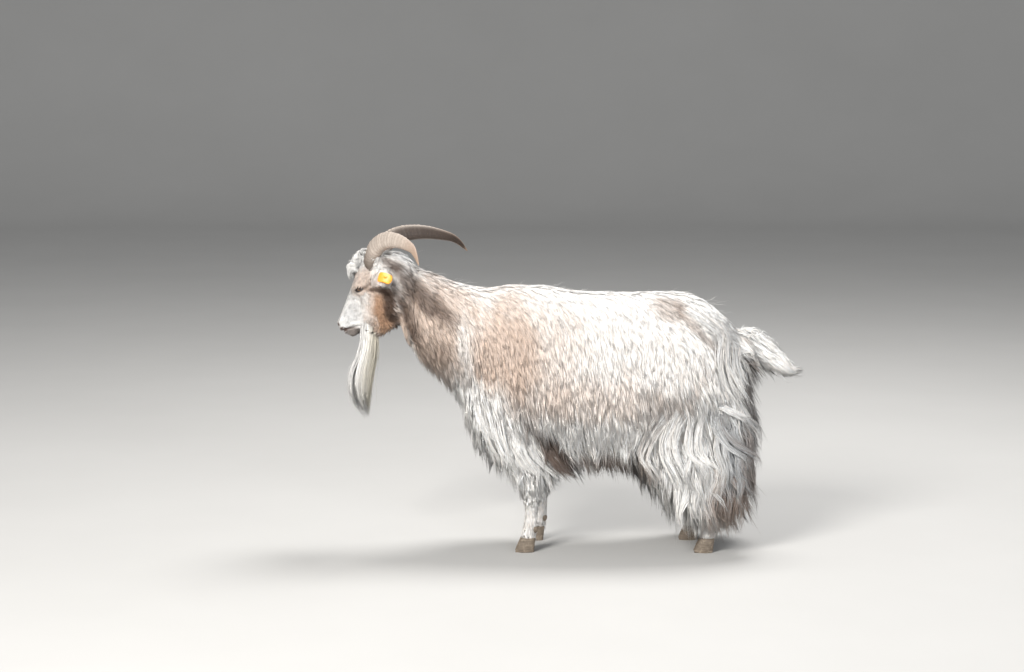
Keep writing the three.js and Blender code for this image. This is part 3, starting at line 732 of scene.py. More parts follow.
# Each patch: middle and reach in x and z, slope in degrees, colour, strength, and how streaky.
Patch = namedtuple("Patch", "at size slope colour strength streaky")
PATCHES = {
    "creamy side": Patch((0.13, 0.50), (0.28, 0.17), 0, CREAM, 0.75, 0.5),
    "whole neck": Patch((-0.36, 0.6), (0.15, 0.15), -35, CREAM, 0.9, 0.3),
    "neck": Patch((-0.375, 0.575), (0.14, 0.10), -40, TAN, 0.9, 0.35),
    "shoulder": Patch((-0.165, 0.525), (0.10, 0.17), -6, TAN, 0.95, 0.3),
    "behind shoulder": Patch((-0.06, 0.50), (0.10, 0.17), -10, TAN, 0.42, 0.8),
    "crest": Patch((-0.30, 0.665), (0.10, 0.04), -38, TAN, 0.65, 1.2),
    "upper neck": Patch((-0.39, 0.683), (0.125, 0.03), -41, DARK_BROWN, 0.85, 0.6),
    "behind horn": Patch((-0.458, 0.757), (0.045, 0.017), -24, DARK_BROWN, 0.75, 0.6),
    "throat": Patch((-0.436, 0.625), (0.095, 0.034), -66, DARK_BROWN, 0.85, 0.4),
    # painted shadow: dark brown on the neck where the jaw shades it
    "behind the jaw": Patch((-0.456, 0.64), (0.07, 0.026), -68, DARK_BROWN, 1.0, 0.2),
    "neck stripe": Patch((-0.262, 0.5), (0.022, 0.13), 8, WHITE, 0.55, 0.8),
    "lower neck": Patch((-0.325, 0.50), (0.075, 0.05), -50, GREY_BROWN, 0.55, 1.0),
    "breast": Patch((-0.235, 0.35), (0.10, 0.105), 0, WHITE, 0.95, 0.3),
    "flank": Patch((0.06, 0.41), (0.17, 0.06), 8, TAN, 0.45, 1.5),
    "groin": Patch((0.24, 0.40), (0.07, 0.05), 20, GREY_BROWN, 0.5, 1.2),
    "belly band": Patch((0.07, 0.315), (0.26, 0.05), -5, WHITE, 0.95, 0.5),
    "belly": Patch((0.12, 0.238), (0.12, 0.03), -8, GREY_BROWN, 0.8, 0.6),
    "belly middle": Patch((0.14, 0.225), (0.07, 0.025), -8, DARK_BROWN, 0.7, 0.7),
    "elbow": Patch((-0.035, 0.262), (0.032, 0.11), 38, DARK_BROWN, 0.95, 1.0),
    "hip": Patch((0.267, 0.642), (0.055, 0.028), -12, GREY_BROWN, 0.6, 0.9),
    "hip line": Patch((0.335, 0.595), (0.085, 0.014), -46, GREY_BROWN, 0.55, 0.5),
    # painted shade: the shadow along the underside of the haunch's bulge
    "painted shade under the haunch": Patch((0.315, 0.43), (0.085, 0.014), 46, GREY_BROWN, 0.55, 0.7),
    # painted shade: silver grey over the skirt's white locks, for the shade among them
    "skirt": Patch((0.45, 0.24), (0.055, 0.15), 0, SILVER, 0.95, 1.0),
    # painted shade: grey-brown at the back of the skirt, for the deeper shade there
    "painted shade at the skirt's rear": Patch((0.475, 0.23), (0.04, 0.13), 0, GREY_BROWN, 0.65, 1.2),
    "skirt's foot": Patch((0.42, 0.125), (0.065, 0.07), 0, GREY_BROWN, 0.95, 0.9),
    "under tail": Patch((0.485, 0.45), (0.022, 0.09), 0, DARK_BROWN, 0.85, 0.4),
    "tail root": Patch((0.475, 0.555), (0.02, 0.012), -20, GREY_BROWN, 0.5, 0.6),
    "shins": Patch((0.1, 0.07), (0.6, 0.05), 0, CREAM, 0.6, 0.2),
}
# The same on the head, in its own frame in millimetres.
FACE_PATCHES = {
    "throat": Patch((104, -150), (70, 20), -40, TAN, 0.9, 0.4),
    "cheek and jaw": Patch((94, -72), (84, 58), -35, TAN, 0.9, 1.3),
    "jaw": Patch((98, -84), (58, 30), -35, RUST, 0.9, 1.2),
    "beside the eye": Patch((62, -26), (28, 16), 54, TAN, 0.85, 0.5),
    # painted shadow: dark brown behind the jaw, where the throat lies in shade
    "behind the jaw": Patch((70, -92), (60, 19), -44, DARK_BROWN, 1.0, 0.45),
    # painted shadow: dark brown in the shade below the ear
    "painted shadow under the ear": Patch((52, -44), (36, 9), 54, DARK_BROWN, 0.9, 0.25),
    "forehead": Patch((60, 10), (42, 30), 0, TAN, 0.8, 0.9),
    "muzzle's grey": Patch((160, -14), (44, 22), 0, SILVER, 0.42, 1.8),
    "around the eye": Patch((84, -2), (27, 15), 28, TAN, 0.55, 0.6),
    "eye line": Patch((62, -11), (25, 6), 28, DARK_BROWN, 0.62, 0.3),
    "eye's dark corner": Patch((93, 6), (9, 5), 28, DARK_BROWN, 0.5, 0.2),
    "cheek": Patch((120, -44), (24, 14), -30, CREAM, 0.2, 0.9),
    "chin": Patch((189, -47), (28, 17), 30, DARK_BROWN, 0.8, 0.3),
}
STREAK = np.array([0.011, 0.011, 0.08])  # width and length of the streaks, in metres
WANDER = 0.012  # how far the patches' edges wander on the body, in metres
FACE_WANDER = 8  # and on the head, in millimetres


def lay_patches(colour, across, up, patches, points, chance, size):
    """Colours with the patches laid over them in turn, their edges wandering by about size."""
    wander = size * noise(points, 0.045, 7.3)
    ramble = size * noise(points, 0.03, 3.1)
    streak = 0.5 * noise(points / STREAK, 1.0, 2.6) + 0.5 * noise(points / STREAK, 2.7, 8.1)
    streak = streak + chance
    for patch in patches.values():
        a = math.radians(patch.slope)
        x, z = across + wander - patch.at[0], up + ramble - patch.at[1]
        along, aside = x * math.cos(a) + z * math.sin(a), z * math.cos(a) - x * math.sin(a)
        away = np.hypot(along / patch.size[0], aside / patch.size[1])
        away = away + (0.08 + 0.24 * patch.streaky) * streak
        share = patch.strength * smoothstep(1.35, 0.5, away)
        colour = colour + (patch.colour - colour) * share[:, None]
    return colour


def markings(points, chance=0.0):
    """The coat's colour at each point. chance, about nought, strews hairs across the edges."""
    chance = np.broadcast_to(chance, len(points))
    colour = np.broadcast_to(WHITE, (len(points), 3))
    colour = lay_patches(colour, points[:, 0], points[:, 2], PATCHES, points, chance, WANDER)
    local = into(HEAD_AXES, points)
    face = np.broadcast_to(WHITE * 0.85, (len(points), 3))
    face = lay_patches(face, local[:, 0], local[:, 2], FACE_PATCHES, points, chance, FACE_WANDER)
    return colour + (face - colour) * face_share(points)[:, None]


def face_line(points):
    """How far before the line from the horns' back down behind the jaw each point is, in mm."""
    local = into(HEAD_AXES, points)
    ahead_of = (local - np.array([-26, 0, 4])) @ np.array([0.833, 0, 0.556])
    return np.where(np.linalg.norm(local, axis=1) < HEAD_REACH, ahead_of, -100)


def face_share(points):
    """1 on the head, 0 on the neck and body."""
    return smoothstep(-4, 22, face_line(points))


# ---- where hair grows ---------------------------------------------------------------------------
UV_NAME = "OFBake"


def unwrap(ob):
    bpy.context.view_layer.objects.active = ob
    for other in bpy.context.selected_objects:
        other.select_set(False)
    ob.select_set(True)
    ob.data.uv_layers.new(name=UV_NAME)
    bpy.ops.object.mode_set(mode="EDIT")
    bpy.ops.mesh.select_all(action="SELECT")
    bpy.ops.uv.smart_project(angle_limit=math.radians(66), island_margin=0.002)
    bpy.ops.object.mode_set(mode="OBJECT")


unwrap(skin)


def skin_distance(points):
    """Distance out of the skin, and the way out, at each point."""
    d, n = flesh.read(points), flesh.normal(points)
    cell = (points - head_grid.low) / head_grid.cell
    inside = ((cell > 1) & (cell < np.array(head_grid.shape) - 2)).all(1)
    inside &= points[:, 0] < NECK_CUT[0]
    near = points[inside]
    head_d, head_n = head_grid.read(near), head_grid.normal(near)
    closer = head_d < d[inside]
    d[inside] = np.where(closer, head_d, d[inside])
    n[inside] = np.where(closer[:, None], head_n, n[inside])
    return d, n


class Ground:
    """The skin's triangles, from which roots are drawn."""

    def __init__(self, ob):
        mesh = ob.data
        mesh.calc_loop_triangles()
        count = len(mesh.loop_triangles)
        corners, loops = np.empty(count * 3, int), np.empty(count * 3, int)
        mesh.loop_triangles.foreach_get("vertices", corners)
        mesh.loop_triangles.foreach_get("loops", loops)
        uv = np.empty(len(mesh.loops) * 2)
        mesh.uv_layers[UV_NAME].data.foreach_get("uv", uv)
        normals = np.empty(len(mesh.vertices) * 3)
        mesh.vertex_normals.foreach_get("vector", normals)
        corners = corners.reshape(-1, 3)
        self.points = points_of(mesh)[corners]
        self.normals = normals.reshape(-1, 3)[corners]
        self.uv = uv.reshape(-1, 2)[loops.reshape(-1, 3)]
        edges = self.points[:, 1:] - self.points[:, :1]
        self.area = np.linalg.norm(np.cross(edges[:, 0], edges[:, 1]), axis=1) / 2
        self.middle = self.points.mean(1)

    def roots(self, count, weight):
        """Points, normals and map places drawn at random, by area times weight."""
        odds = self.area * weight
        face = rng.choice(len(odds), count, p=odds / odds.sum())
        a, b = rng.random((2, count))
        over = a + b > 1
        a, b = np.where(over, 1 - a, a), np.where(over, 1 - b, b)
        mix = np.stack([1 - a - b, a, b], 1)[:, :, None]
        points = (self.points[face] * mix).sum(1)
        return points, unit((self.normals[face] * mix).sum(1)), (self.uv[face] * mix).sum(1)

    def uv_at(self, point):
        """The map's place of the skin nearest a point."""
        return self.uv[np.linalg.norm(self.middle - point, axis=1).argmin()].mean(0)


ground = Ground(skin)


def nearest(points, targets):
    tree = KDTree(len(targets))
    for i, target in enumerate(targets.tolist()):
        tree.insert(target, i)
    tree.balance()
    return np.array([tree.find(point)[1] for point in points.tolist()])


# ---- strands ------------------------------------------------------------------------------------
TUFT_MAP = 0.003  # of the bake's map for each tuft


def frames_along(paths, out):
    """Unit ways across and up from each path, at each of its points."""
    along = unit(np.gradient(paths, axis=1))
    across = unit(np.cross(along, out))
    return across, unit(np.cross(across, along))


def on_rings(values):
    """Values of a strand's points, given to the three corners of each ring and to the tip."""
    return np.concatenate([np.repeat(values[:, :-1], 3, axis=1), values[:, -1:]], 1)


def strand_mesh(name, paths, widths, out, colours, uv, roll=0.5, flat=0.5):
    """Closed three-sided strands along paths of k points, with a colour for each point.

    roll: how far they turn about their own length. flat: their height as a share of their width.
    """
    n, k = paths.shape[:2]
    across, upward = frames_along(paths, out)
    turn = rng.normal(0, roll, (n, 1, 1))
    side = across * np.cos(turn) + upward * np.sin(turn)
    top = upward * np.cos(turn) - across * np.sin(turn)
    t = np.linspace(0, 1, k)
    shape = np.minimum(0.55 + 2.2 * t, 1) * np.clip((1 - t) / 0.55, 0, 1) ** 0.8
    half = (widths[:, None] * shape / 2)[:, :, None]
    corners = [paths - side * half, paths + side * half, paths + top * half * 2 * flat]
    rings = np.stack(corners, 2)[:, : k - 1].reshape(n, -1, 3)
    points = np.concatenate([rings, paths[:, -1:]], 1)
    each = points.shape[1]
    faces = [[0, 2, 1]]
    for ring in range(k - 2):
        for j in range(3):
            a, b = 3 * ring + j, 3 * ring + (j + 1) % 3
            faces += [[a, b, b + 3], [a, b + 3, a + 3]]
    last = 3 * (k - 2)
    faces += [[last + j, last + (j + 1) % 3, each - 1] for j in range(3)]
    faces = np.array(faces)
    across_map = np.concatenate([np.tile([0.0, 1.0, 0.5], k - 1), [0.5]]) - 0.5
    along_map = np.concatenate([np.repeat(t[: k - 1], 3), [1.0]]) - 0.5
    patch = np.stack([across_map, along_map], 1) * TUFT_MAP
    patch_uv = np.clip(uv, TUFT_MAP, 1 - TUFT_MAP)[:, None, :] + patch[None]
    all_faces = (faces[None] + (np.arange(n) * each)[:, None, None]).reshape(-1, 3)
    ob = mesh_object(name, points.reshape(-1, 3), all_faces)
    paint(ob.data, "coat", on_rings(colours).reshape(-1, 3))
    add_values(ob.data, "lie", on_rings(upward).reshape(-1, 3))
    layer = ob.data.uv_layers.new(name=UV_NAME)
    corner_uv = patch_uv.reshape(-1, 2)[all_faces.ravel()]
    layer.data.foreach_set("uv", corner_uv.astype(np.float32).ravel())
    return ob


def swing(paths, across, upward, size, turns, phase, t):
    """Paths with a wave across them and half as much out of the coat."""
    wave = size[:, None] * t[None] ** 1.1
    angle = 2 * math.pi * (turns[:, None] * t[None] + phase[:, None])
    paths = paths + across * (wave * np.sin(angle))[:, :, None]
    return paths + upward * (0.45 * wave * np.cos(angle))[:, :, None]


LAYER = 0.62  # share of the coat's depth at which its locks lie
LOOSE = (0.13, 0.2)  # how far above or below it they may lie: anywhere, and more in shaggy zones


def lead(roots, steps):
    """Paths of the locks' middles: out of the skin, then along the coat's own height and flow.

    Also how high in the coat each lies, from 0 to 1.
    """
    shares = zone_shares(roots)
    count = len(roots)
    long = by_zone(shares, "long") * MM * rng.uniform(0.85, 1.12, count)
    deep = by_zone(shares, "deep") * MM
    flow = by_zone(shares, "flow")
    side = np.tanh((roots[:, 1] - MID_Y) / 0.03)
    way = np.stack([flow[:, 0], flow[:, 1] * side, flow[:, 2]], 1)
    way[:, 0] += 0.22 * noise(roots, 0.07, 1.7) + rng.normal(0, 0.07, count)
    way[:, 1] += 0.15 * noise(roots, 0.06, 5.2) + rng.normal(0, 0.05, count)
    loose = LOOSE[0] + LOOSE[1] * near_zone(roots, *SHAGGY)
    layer = LAYER + loose * rng.uniform(-1, 1, count)
    at, paths = roots, [roots]
    stride = long / steps
    for step in range(1, steps + 1):
        t = step / steps
        heading = unit(unit(way) + np.outer(np.full(count, 0.55 * t), -UP))
        d, n = skin_distance(at)
        target = deep * layer * math.sin(min(1.7 * t, 1) * math.pi / 2)
        near = np.clip(1 - (d - target) / (0.6 * deep + 0.002), 0, 1)
        inward = np.minimum((heading * n).sum(1), 0)
        rise = np.clip((target - d) / stride, 0, 0.9)
        heading = unit(heading - (near * inward)[:, None] * n + rise[:, None] * n)
        at = at + heading * stride[:, None]
        paths.append(at)
    paths = np.stack(paths, 1)
    wave = by_zone(shares, "wave") * long
    flat_out = skin_distance(paths[:, steps // 2])[1]
    across, upward = frames_along(paths, np.repeat(flat_out[:, None], steps + 1, 1))
    phase = noise(roots, 0.05, 9.1) * 0.6 + rng.uniform(0, 0.35, count)
    turns = rng.uniform(0.8, 1.3, count)
    paths = swing(paths, across, upward, wave, turns, phase, np.linspace(0, 1, steps + 1))
    return paths, 0.5 + (layer - LAYER) / (2 * sum(LOOSE))


def follow(roots, leaders, clump, shortest, rings):
    """Paths of single tufts that draw in towards their lock's middle. Also each one's lock."""
    owner = nearest(roots, leaders[:, 0])
    reach = rng.uniform(shortest, 1.0, len(roots))
    t = np.linspace(0, 1, rings)
    steps = leaders.shape[1] - 1
    at = np.clip(t[None] * reach[:, None] * steps, 0, steps - 1e-6)
    low = at.astype(int)
    share = (at - low)[:, :, None]
    path = leaders[owner[:, None], low] * (1 - share) + leaders[owner[:, None], low + 1] * share
    offset = (roots - leaders[owner, 0])[:, None, :]
    draw = clump * smoothstep(0.05, 0.9, t)[None, :, None]
    return path + offset * (1 - draw), owner


def lift_clear(paths, least):
    """Points under the skin are brought out of it."""
    n, k = paths.shape[:2]
    flat = paths[:, 1:].reshape(-1, 3)
    d, out = skin_distance(flat)
    flat = flat + out * np.clip(least - d, 0, 0.03)[:, None]
    return np.concatenate([paths[:, :1], flat.reshape(n, k - 1, 3)], 1)


def frizz(paths, size):
    """Each strand bends a little of its own accord."""
    n, k = paths.shape[:2]
    t = np.linspace(0, 1, k)[None, :, None]
    sweep, ripple = rng.normal(0, 1, (2, n, 1, 3))
    bend = sweep * t**1.5 + 0.5 * ripple * np.sin(3.1 * math.pi * t)
    return paths + size[:, None, None] * bend


def tint(paths, owner_luck, own_luck, shade_root=0.86, shade_tip=1.03, contrast=0.05):
    """Colour of each ring: markings where the tuft lies, with its own luck, and painted shade that
    darkens it towards the root.
    """
    n, k = paths.shape[:2]
    chance = 0.3 * owner_luck + 0.3 * own_luck
    base = markings(paths[:, k // 2], chance)
    bright = 1 + 0.05 * rng.normal(0, 1, n) + contrast * owner_luck
    warm = 1 + np.outer(rng.normal(0, 0.02, n), [1, 0, -1])
    t = np.linspace(0, 1, k)
    # painted shade: darker towards the root, deep in the coat, and a touch lighter at the tip
    along = shade_root + (shade_tip - shade_root) * smoothstep(0, 0.7, t)
    return (base * warm * bright[:, None])[:, None, :] * along[None, :, None]


coat_pieces = []
COAT_MOST = 190_000  # triangles in one piece


def add_coat(name, paths, widths, out, colours, uv, **shape):
    """Strands as pieces of at most COAT_MOST triangles, cut along the body; each fills its map."""
    count, rings = paths.shape[:2]
    order = np.argsort(paths[:, 0, 0])
    parts = math.ceil(count * (6 * (rings - 2) + 4) / COAT_MOST)
    for i, chosen in enumerate(np.array_split(order, parts)):
        low, high = uv[chosen].min(0), uv[chosen].max(0)
        piece = strand_mesh(
            f"{name}_{i + 1}",
            paths[chosen],
            widths[chosen],
            out[chosen],
            colours[chosen],
            (uv[chosen] - low) / (high - low),
            **shape,
        )
        coat_pieces.append(piece)


def make_coat(
    name,
    count,
    weight,
    rings,
    clump,
    shortest,
    thick,
    per_lock,
    wild,
    root=0.93,
    contrast=0.04,
    dim=1.0,
):
    """Coat over the zones: roots by weight, drawn into locks.

    clump: how far tufts draw in to their lock. shortest and thick: shares of the zone's length and
    width. wild: how much each tuft bends. root, contrast and dim: painted shade at the roots,
    difference between locks, by chance and as painted shade by how deep each lies in the coat,
    shade of the whole.
    """
    roots, _, uv = ground.roots(count, weight)
    leaders, layer = lead(ground.roots(count // per_lock, weight)[0], 8)
    paths, owner = follow(roots, leaders, clump, shortest, rings)
    length = np.linalg.norm(np.diff(paths, axis=1), axis=2).sum(1)
    paths = lift_clear(frizz(paths, wild * length), 0.0008)
    wide = by_zone(zone_shares(roots), "wide") * MM * thick * rng.uniform(0.6, 1.25, count)
    # painted shade: locks that lie deeper in the coat come out darker, higher ones lighter; the
    # rest is chance
    luck = (0.5 * rng.uniform(-1, 1, len(leaders)) + 0.8 * (layer - 0.5))[owner]
    colours = tint(paths, luck, rng.uniform(-1, 1, count), root, 1.03, contrast)
    out = skin_distance(paths.reshape(-1, 3))[1].reshape(paths.shape)
    add_coat(name, paths, wide, out, colours * dim, uv)


def on_ear(points, side):
    """How far along that side's ear each point is, or -1 off it."""
    along, across, out = ear_axes(side)
    local = into(TURNED_AXES, points) - np.array([EAR_ROOT[0], side * EAR_ROOT[1], EAR_ROOT[2]])
    t = (local @ along + EAR_BASE) / (EAR_LENGTH + EAR_BASE)
    near = (np.abs(local @ across) < 36) & (np.abs(local @ out) < 30) & (t > 0.12)
    return np.where(near, t, -1)


def on_ears(points):
    """The same for whichever ear a point is on."""
    return np.maximum(on_ear(points, -1), on_ear(points, 1))


def bare(points):
    """1 on eyes' rims, nostrils and lips, where no tuft grows."""
    p = into(HEAD_AXES, points)
    x, away, z = p[:, 0] - EYE_AT[0], np.abs(p[:, 1]), p[:, 2] - EYE_AT[2]
    along, up = by_slit(x, z)
    eye = (np.hypot(along / (SLIT_HALF + 3), up / (SLIT_HIGH + 3.5)) < 1) & (away > 25)
    nose = (p[:, 0] > 196) & (np.abs(p[:, 2] + 4) < 12)
    lips = (np.abs(p[:, 2] - mouth_height(p[:, 0])) < 5.5) & (p[:, 0] > 176)
    return (eye | nose | lips) & (np.linalg.norm(p, axis=1) < HEAD_REACH)


def make_wisps(count):
    """Fine single hairs that stand off the back."""
    roots, normals, uv = ground.roots(count, (1 - on_face) * smoothstep(0.57, 0.66, spread[:, 2]))
    side = unit(normals * np.array([1, 1, 0.5]) + 0.3 * rng.normal(0, 1, (count, 3)))
    back = unit(np.array([0.9, 0.0, -0.35]) + 0.25 * rng.normal(0, 1, (count, 3)))
    long = rng.uniform(0.025, 0.055, count)[:, None, None]
    t = np.linspace(0, 1, 5)[None, :, None]
    paths = roots[:, None] + long * (back[:, None] * t + side[:, None] * (0.55 * t - 0.15 * t**2))
    paths = frizz(paths, np.full(count, 0.003))
    colours = tint(paths, rng.uniform(-1, 1, count), rng.uniform(-1, 1, count), 1.0, 1.05)
    out = np.repeat(normals[:, None], 5, 1)
    add_coat("coat_wisps", paths, rng.uniform(0.4, 0.7, count) * MM, out, colours, uv)


spread = ground.middle
ears = on_ears(spread)
on_face = np.where(ears > 0, 1, face_share(spread))
legs = near_zone(spread, "fore_cannon", "hind_cannon", "knee")
shaggy = near_zone(spread, *SHAGGY)
plain = (1 - on_face) * (1 - legs)
make_coat("coat_body", 57000, plain * (1 - 0.6 * shaggy), 3, 0.3, 0.6, 0.86, 10, 0.02, 0.95, 0.04)
make_coat("coat_long", 9500, plain * shaggy**1.5, 7, 0.9, 0.5, 1.1, 34, 0.018, 0.75, 0.2, 0.94)
make_coat("coat_legs", 7000, legs * (1 - on_face), 3, 0.3, 0.7, 1.0, 5, 0.02)
make_wisps(300)


# ---- the head's coat ----------------------------------------------------------------------------
def face_way(points):
    """The lie of the head's hair: to the lips on the nose, back and down on cheek and jaw."""
    p = into(HEAD_AXES, points)
    side = -np.sign(p[:, 1])
    nose = np.maximum(smoothstep(-6, 14, p[:, 2]), smoothstep(112, 140, p[:, 0]))
    sidelong = side[:, None] * TURNED_AXES[1] * 0.18
    turn = smoothstep(60, 5, face_line(points))[:, None]
    back = (-0.55 - 0.3 * turn) * ahead - (0.85 - 0.3 * turn) * UP + sidelong
    return back + (HEAD_AXES[0] - back) * nose[:, None]


def ear_way(points):
    side = np.where(into(TURNED_AXES, points)[:, 1] < 0, -1, 1)
    axes = {s: ear_axes(s)[0] @ TURNED_AXES for s in (-1, 1)}
    return np.where(side[:, None] < 0, axes[-1], axes[1]) + np.array([0.0, 0.0, -0.25])


def make_face(count):
    """Short tufts that lie on the head and ears."""
    weight = on_face * (1 - bare(spread)) * np.where(ears > 0, 0.8, 1)
    roots, normals, uv = ground.roots(count, weight)
    on = on_ears(roots)
    p = into(HEAD_AXES, roots)
    long = 4.2 + 7 * smoothstep(150, 60, p[:, 0])
    long = long + 15 * smoothstep(-45, -100, p[:, 2]) * smoothstep(175, 120, p[:, 0])
    long = long + 16 * smoothstep(30, -4, face_line(roots)) * (on < 0)
    under = smoothstep(122, 136, p[:, 0]) * smoothstep(192, 178, p[:, 0])
    under = smoothstep(-50, -66, p[:, 2]) * under
    long = long + 26 * under * smoothstep(24, 12, np.abs(p[:, 1]))
    long = np.where(on > 0, 5.5, long) * MM * rng.uniform(0.7, 1.2, count)
    way = np.where((on > 0)[:, None], ear_way(roots), face_way(roots))
    lock = noise(roots, 0.006, 4.4)[:, None]
    turn = np.cross(normals, unit(way))
    way = unit(way) + 0.30 * lock * turn + 0.13 * rng.normal(0, 1, (count, 3))
    flat = unit(way - (way * normals).sum(1, keepdims=True) * normals)
    t = np.linspace(0, 1, 3)[None, :, None]
    rise = 0.13 + 0.10 * rng.random((count, 1, 1)) + 0.06 * np.abs(lock)[:, :, None]
    reach = long[:, None, None]
    paths = roots[:, None] + flat[:, None] * reach * t
    paths = paths + normals[:, None] * reach * rise * (2.2 * t - 1.3 * t**2)
    wide = np.where(on > 0, 1.1, 0.85 + 0.07 * long / MM) * MM * rng.uniform(0.7, 1.2, count)
    luck = noise(roots, 0.009, 2.2)
    colours = tint(paths, luck, rng.uniform(-1, 1, count), 0.8, 1.03)
    grey = (rng.random(count) < 0.22) * smoothstep(90, 130, p[:, 0])
    colours = colours * (1 - 0.34 * grey)[:, None, None]
    out = np.repeat(normals[:, None], 3, 1)
    add_coat("coat_face", paths, wide, out, colours, uv, flat=0.35)


make_face(15500)

# The beard's locks hang down: [minus z, x, y, half length, half width], in mm.
BEARD = [
    [-618, -524, 38, 20, 16],
    [-572, -526, 38, 22, 18],
    [-543, -525, 39, 24, 20],
    [-499, -534, 40, 27, 22],
    [-465, -545, 40, 31, 23],
    [-425, -550, 39, 31, 20],
    [-386, -547, 38, 25, 16],
    [-354, -537, 37, 11, 8],
    [-338, -532, 37, 5, 4],
]


def make_beard(count, rings, locks):
    """Long locks that hang in a slow S, with single hairs that stray forwards."""
    owner = rng.integers(0, locks, count)
    ring_of = np.sqrt(rng.random(locks))
    round_of = rng.uniform(0, 2 * math.pi, locks)
    reach = (0.62 + 0.38 * rng.random(locks) ** 0.6)[owner] * rng.uniform(0.8, 1.02, count)
    t = np.linspace(0, 1, rings)[None, :]
    middle_at = np.stack([ring_of * np.cos(round_of), ring_of * np.sin(round_of)], 1)[owner]
    start = rng.uniform(-1, 1, (count, 2)) * 0.30 + middle_at
    top, foot = BEARD[0][0], BEARD[-1][0]
    first = top - rng.uniform(-5, 24, (count, 1))
    drop = first + (foot - first) * t * reach[:, None]
    x, y, deep, wide = (v.reshape(count, rings) for v in between(BEARD, drop.ravel()))
    draw = 1 - 0.72 * smoothstep(0.1, 1, t)
    place = middle_at[:, None] + (start - middle_at)[:, None] * draw[:, :, None]
    x = x + place[:, :, 0] * deep
    y = y + place[:, :, 1] * wide
    sway = 4.6 * smoothstep(0, 0.35, t) * (1 - 0.5 * t)
    swirl = sway * np.sin(6.4 * t + 1.3 * round_of[owner][:, None] + 2 * ring_of[owner][:, None])
    paths = np.stack([x + swirl, y + 0.7 * swirl, -drop], -1) * MM
    paths = frizz(paths, 0.0016 + 0.005 * (rng.random(count) < 0.08))
    paths[:, 0, 2] += rng.uniform(0.0, 0.018, count)
    wide_of = rng.uniform(0.9, 1.9, count) * MM
    # painted shade: the beard's rear locks are greyed to the colour of its shadow side
    shade = smoothstep(-0.6, 1.0, start[:, 0])
    base = WHITE + (BEARD_PAINTED_SHADE - WHITE) * (0.75 * shade[:, None])
    base = base * (1 + 0.07 * rng.normal(0, 1, (count, 1)))
    # painted shade: darker at the roots under the chin
    along = 0.85 + 0.17 * smoothstep(0, 0.3, t)
    colours = base[:, None, :] * along[:, :, None]
    out = np.concatenate([place, np.zeros((count, rings, 1))], 2)
    uv = 0.5 + 0.45 * np.clip(start, -1, 1)
    add_coat("coat_beard", paths, wide_of, unit(out + 1e-3), colours, uv, roll=0.9)


# painted shade of the beard's rear side
BEARD_PAINTED_SHADE = srgb(0.84, 0.80, 0.70)
make_beard(2600, 9, 70)


def make_forelock(count, rings):
    """The fluffy tuft between the horns, which rises, falls forwards and curls in."""
    p = into(HEAD_AXES, spread)
    weight = smoothstep(31, 23, np.abs(p[:, 1])) * smoothstep(60, 46, p[:, 0])
    weight = weight * smoothstep(-24, -14, p[:, 0]) * (p[:, 2] > 6)
    roots, normals, uv = ground.roots(count, weight)
    leaders = ground.roots(count // 12, weight)[0]
    owner = nearest(roots, leaders)
    n = len(leaders)
    start = into(HEAD_AXES, leaders)
    tall = rng.uniform(0.45, 1.0, n)
    reach = np.stack([rng.uniform(24, 40, n), 0.35 * start[:, 1] + rng.normal(0, 3, n)], 1)
    crown = start + np.stack([0.25 * reach[:, 0], 0.9 * reach[:, 1], 58 * tall], 1)
    low = 14 * tall - 0.25 * reach[:, 0] * (start[:, 0] > 20)
    end = start + np.stack([reach[:, 0], reach[:, 1], low], 1)
    t = np.linspace(0, 1, rings)[None, :, None]
    guide = (1 - t) ** 2 * start[:, None] + 2 * t * (1 - t) * crown[:, None] + t**2 * end[:, None]
    curl = rng.uniform(0, 2 * math.pi, (n, 1, 1))
    guide = guide + 2.2 * t * np.sin(5.0 * t + curl) * np.array([0.2, 1, 0.2])
    guide = out_of(HEAD_AXES, guide)
    shorter = rng.uniform(0.7, 1, (count, 1, 1))
    lock = guide[owner] - guide[owner][:, :1]
    paths = roots[:, None] + lock * shorter
    paths = paths - (roots - leaders[owner])[:, None] * (0.45 * smoothstep(0.1, 1, t))
    paths = frizz(paths, np.full(count, 0.0012))
    # painted shade: darker at the roots, deep in the tuft
    bright = (0.88 + 0.14 * smoothstep(0, 0.5, t)) * (1 + 0.05 * rng.normal(0, 1, (count, 1, 1)))
    colours = WHITE * bright
    wide = rng.uniform(1.1, 2.1, count) * MM
    out = np.repeat(normals[:, None], rings, 1)
    add_coat("coat_forelock", paths, wide, out, colours, uv)


make_forelock(2700, 7)

